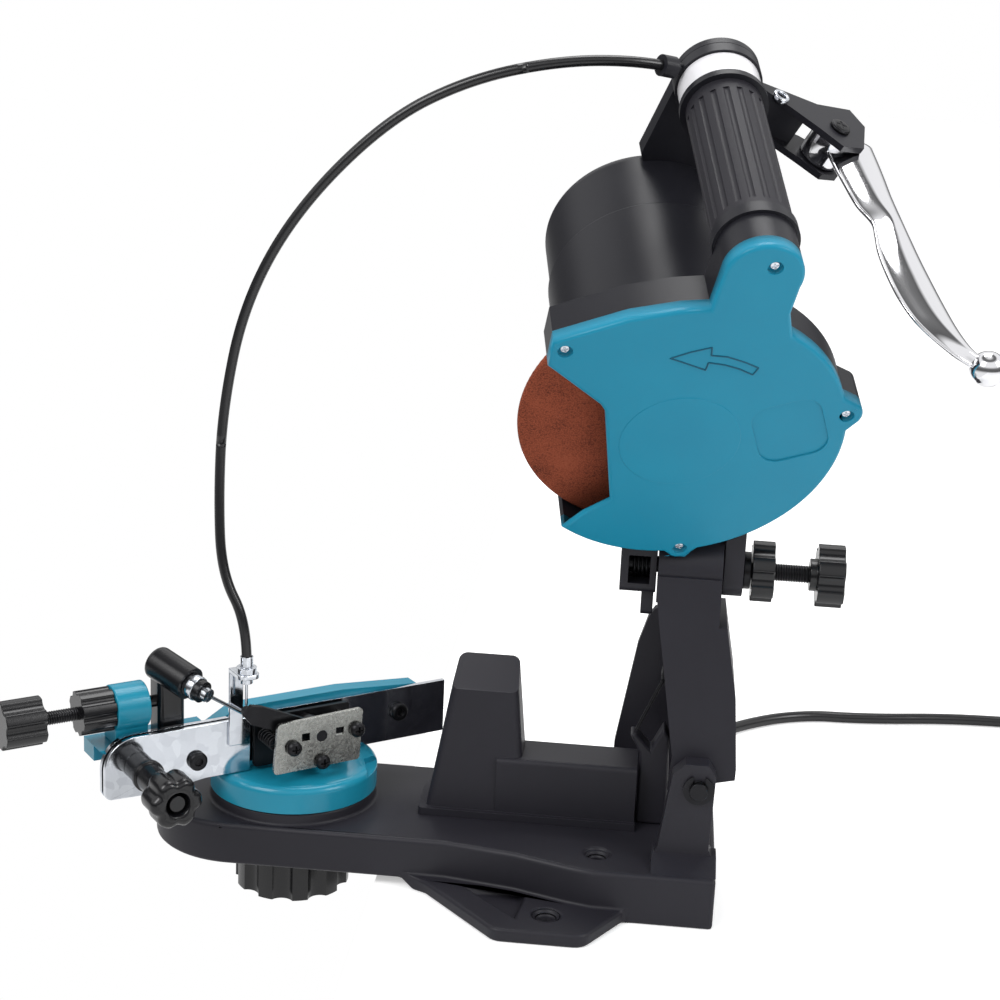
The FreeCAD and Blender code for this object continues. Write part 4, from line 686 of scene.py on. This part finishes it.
dressed(blackened, "black_steel", 0.3, "lever_pivot", segments=2)
LEVER_GAP, CHEEK_WALL, PIVOT_PROUD = 0.3, 3.2, 1.1
BOLT_AT = (29.0, 116.8)
bracket_top = LEVER_HALF + LEVER_GAP + CHEEK_WALL
pivot_seat = LEVER @ Matrix.Translation((*PIVOT, bracket_top + PIVOT_PROUD))
pivot_head = screw_head(radius=5.0, high=1.0, slot_long=2.8, slot_wide=0.7)
skin("pivot_screw", placed(pivot_head, pivot_seat), blackened, "head")
socket = turned([(2.3, -1.5), (3.9, -1.5), (4.2, 1.2), (3.9, 1.7), (2.6, 1.7), (2.3, 1.3)])
skin("clamp_socket_bolt", placed(socket, LEVER @ Matrix.Translation((*BOLT_AT, bracket_top))), bright_zinc,
     "head", ring=True)

# ------------------------------------------------------------------ Bowden cable
# Extruded black PVC housing over a steel spiral, 5 mm across, from the lever's barrel to the ferrule on the
# vice. It crosses three joints, so it is three lengths, one over each of them.
CABLE_D = 0.005
CABLE_POINTS = [(31.87, -5.01, 402.96), (16.85, -16.1, 405.6), (-18, -24, 404), (-58, -25, 394),
                (-96, -24, 373.5), (-137.5, -22, 330), (-162, -21, 284), (-172, -21, 232),
                (-173, -24, 190), (-170, -30, 152), (-155.72, -35.66, 129), (-155.72, -35.66, 107.3)]


def nurbs(name, points, radius):
    """Third-order NURBS line through a list of control points, with a round section."""
    curve = bpy.data.curves.new(name, "CURVE")
    curve.dimensions = "3D"
    curve.bevel_depth, curve.bevel_resolution, curve.resolution_u = radius, 6, 8
    curve.use_fill_caps = True
    spline = curve.splines.new("NURBS")
    spline.points.add(len(points) - 1)
    spline.points.foreach_set("co", np.column_stack((np.array(points, float), np.ones(len(points)))).ravel())
    spline.order_u, spline.use_endpoint_u = 3, True
    made = bpy.data.objects.new(name, curve)
    scene.collection.objects.link(made)
    return made


PVC_CLOUDS, PVC_GRAIN = 70.0, 900.0  # to a metre: 14 mm and 1.1 mm across


def pvc(name, dark, light, roughness):
    """Plasticised PVC: extruded smooth and semi-gloss, with faint clouds along its length."""
    material, tree = new_material(name)
    at = add(tree, "ShaderNodeTexCoord").outputs["Object"]
    cloud = add(tree, "ShaderNodeTexNoise", {"Vector": at, "Scale": PVC_CLOUDS, "Detail": 3.0})
    shade = add(tree, "ShaderNodeMix", {0: cloud.outputs[0], 6: linear(dark), 7: linear(light)},
                data_type="RGBA")
    grain = add(tree, "ShaderNodeTexNoise", {"Vector": at, "Scale": PVC_GRAIN, "Detail": 2.0})
    bump = add(tree, "ShaderNodeBump", {"Height": grain.outputs[0], "Strength": 0.05, "Distance": 0.0002})
    shader = add(tree, "ShaderNodeBsdfPrincipled", {"Base Color": shade.outputs[2], "Roughness": roughness,
                                                    "IOR": 1.53, "Normal": bump.outputs[0]})
    add(tree, "ShaderNodeOutputMaterial", {"Surface": shader.outputs[0]})
    return material


black_pvc = pvc("extruded_black_pvc", "#101012", "#18181B", 0.28)
guide = nurbs("cable_line", [(x / 1000, y / 1000, z / 1000) for x, y, z in CABLE_POINTS], 0.0)
guide.data.resolution_u = 14
bpy.context.view_layer.update()
line_mesh = bpy.data.meshes.new_from_object(guide)
cable_line = np.array([vertex.co for vertex in line_mesh.vertices]) * 1000
bpy.data.objects.remove(guide)
bpy.data.meshes.remove(line_mesh)
cable_run = np.concatenate(([0], np.cumsum(np.linalg.norm(np.diff(cable_line, axis=0), axis=1))))
CABLE_RINGS = 60
CABLE_SHARES = (("cable_upper", ("head", "arm"), 0.0, 0.16), ("cable_middle", ("arm", "base"), 0.16, 0.74),
                ("cable_lower", ("base", "turntable"), 0.74, 1.0))
for name, bodies, start, end in CABLE_SHARES:
    places = np.linspace(start, end, CABLE_RINGS) * cable_run[-1]
    path = np.stack([np.interp(places, cable_run, cable_line[:, axis]) for axis in range(3)], -1)
    length = skin(name, tube(path, CABLE_D * 500), black_pvc, None)
    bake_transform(length)
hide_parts("bowden_cable")

# ------------------------------------------------------------------ power cord
# A round 6.5 mm PVC lead. It leaves the far side of the base through a strain relief, drops to the
# bench and runs to a neat coil of the length that isn't needed, with a moulded two-pin plug.
CORD_D = 0.0065
CORD_EXIT = (0.066, 0.065, 0.014)
CORD_POINTS = [(66, 91, 14), (67, 118, 10.5), (70, 145, 4.6), (78, 170, 3.6), (96, 192, 3.45),
               (117, 209, 3.4), (133, 217.5, 3.35), (150, 222.5, 3.35), (167, 223, 3.3),
               (192, 226.3, 3.3), (225, 233.5, 3.3),
               (260, 236.5, 3.3), (296, 235.4, 3.3)]
COIL_AT = (314.0, 273.0)
COIL_WIDE, COIL_NARROW = 37.7, 31.2
PLUG_NEAR = (343.0, 310.4, 10.6)
COIL_TURNS = ((COIL_WIDE, 3.3), (COIL_NARROW, 3.3), (COIL_NARROW, 9.8), (COIL_WIDE, 9.8),
              (COIL_NARROW, 15.6), (COIL_WIDE, 15.6))
TURN_POINTS, LAST_TURN_POINTS = 14, 4
coil = []
for turn, (radius, height) in enumerate(COIL_TURNS):
    points = LAST_TURN_POINTS if turn == len(COIL_TURNS) - 1 else TURN_POINTS
    for step in range(points):
        angle = math.radians(-90) + 2 * math.pi * (turn + step / TURN_POINTS)
        coil.append((COIL_AT[0] + radius * math.cos(angle), COIL_AT[1] + radius * math.sin(angle), height))
tail = [(COIL_AT[0] + COIL_WIDE, COIL_AT[1] + 6, 14.5), (COIL_AT[0] + 33, COIL_AT[1] + 22, 11.5),
        (PLUG_NEAR[0], PLUG_NEAR[1] - 8, 10.6), (PLUG_NEAR[0], PLUG_NEAR[1] + 1, 10.6)]
cord_route = [tuple(v * 1000 for v in CORD_EXIT)] + CORD_POINTS + coil + tail
power_cord = nurbs("power_cord", [(x / 1000, y / 1000, z / 1000) for x, y, z in cord_route], CORD_D / 2)
power_cord.data.materials.append(black_pvc)
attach(power_cord, "base")
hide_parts("cord_tube", "cord_coil")
dressed(black_gloss, "cord_rubber", 1.0, "cord_plug", "strain_relief")
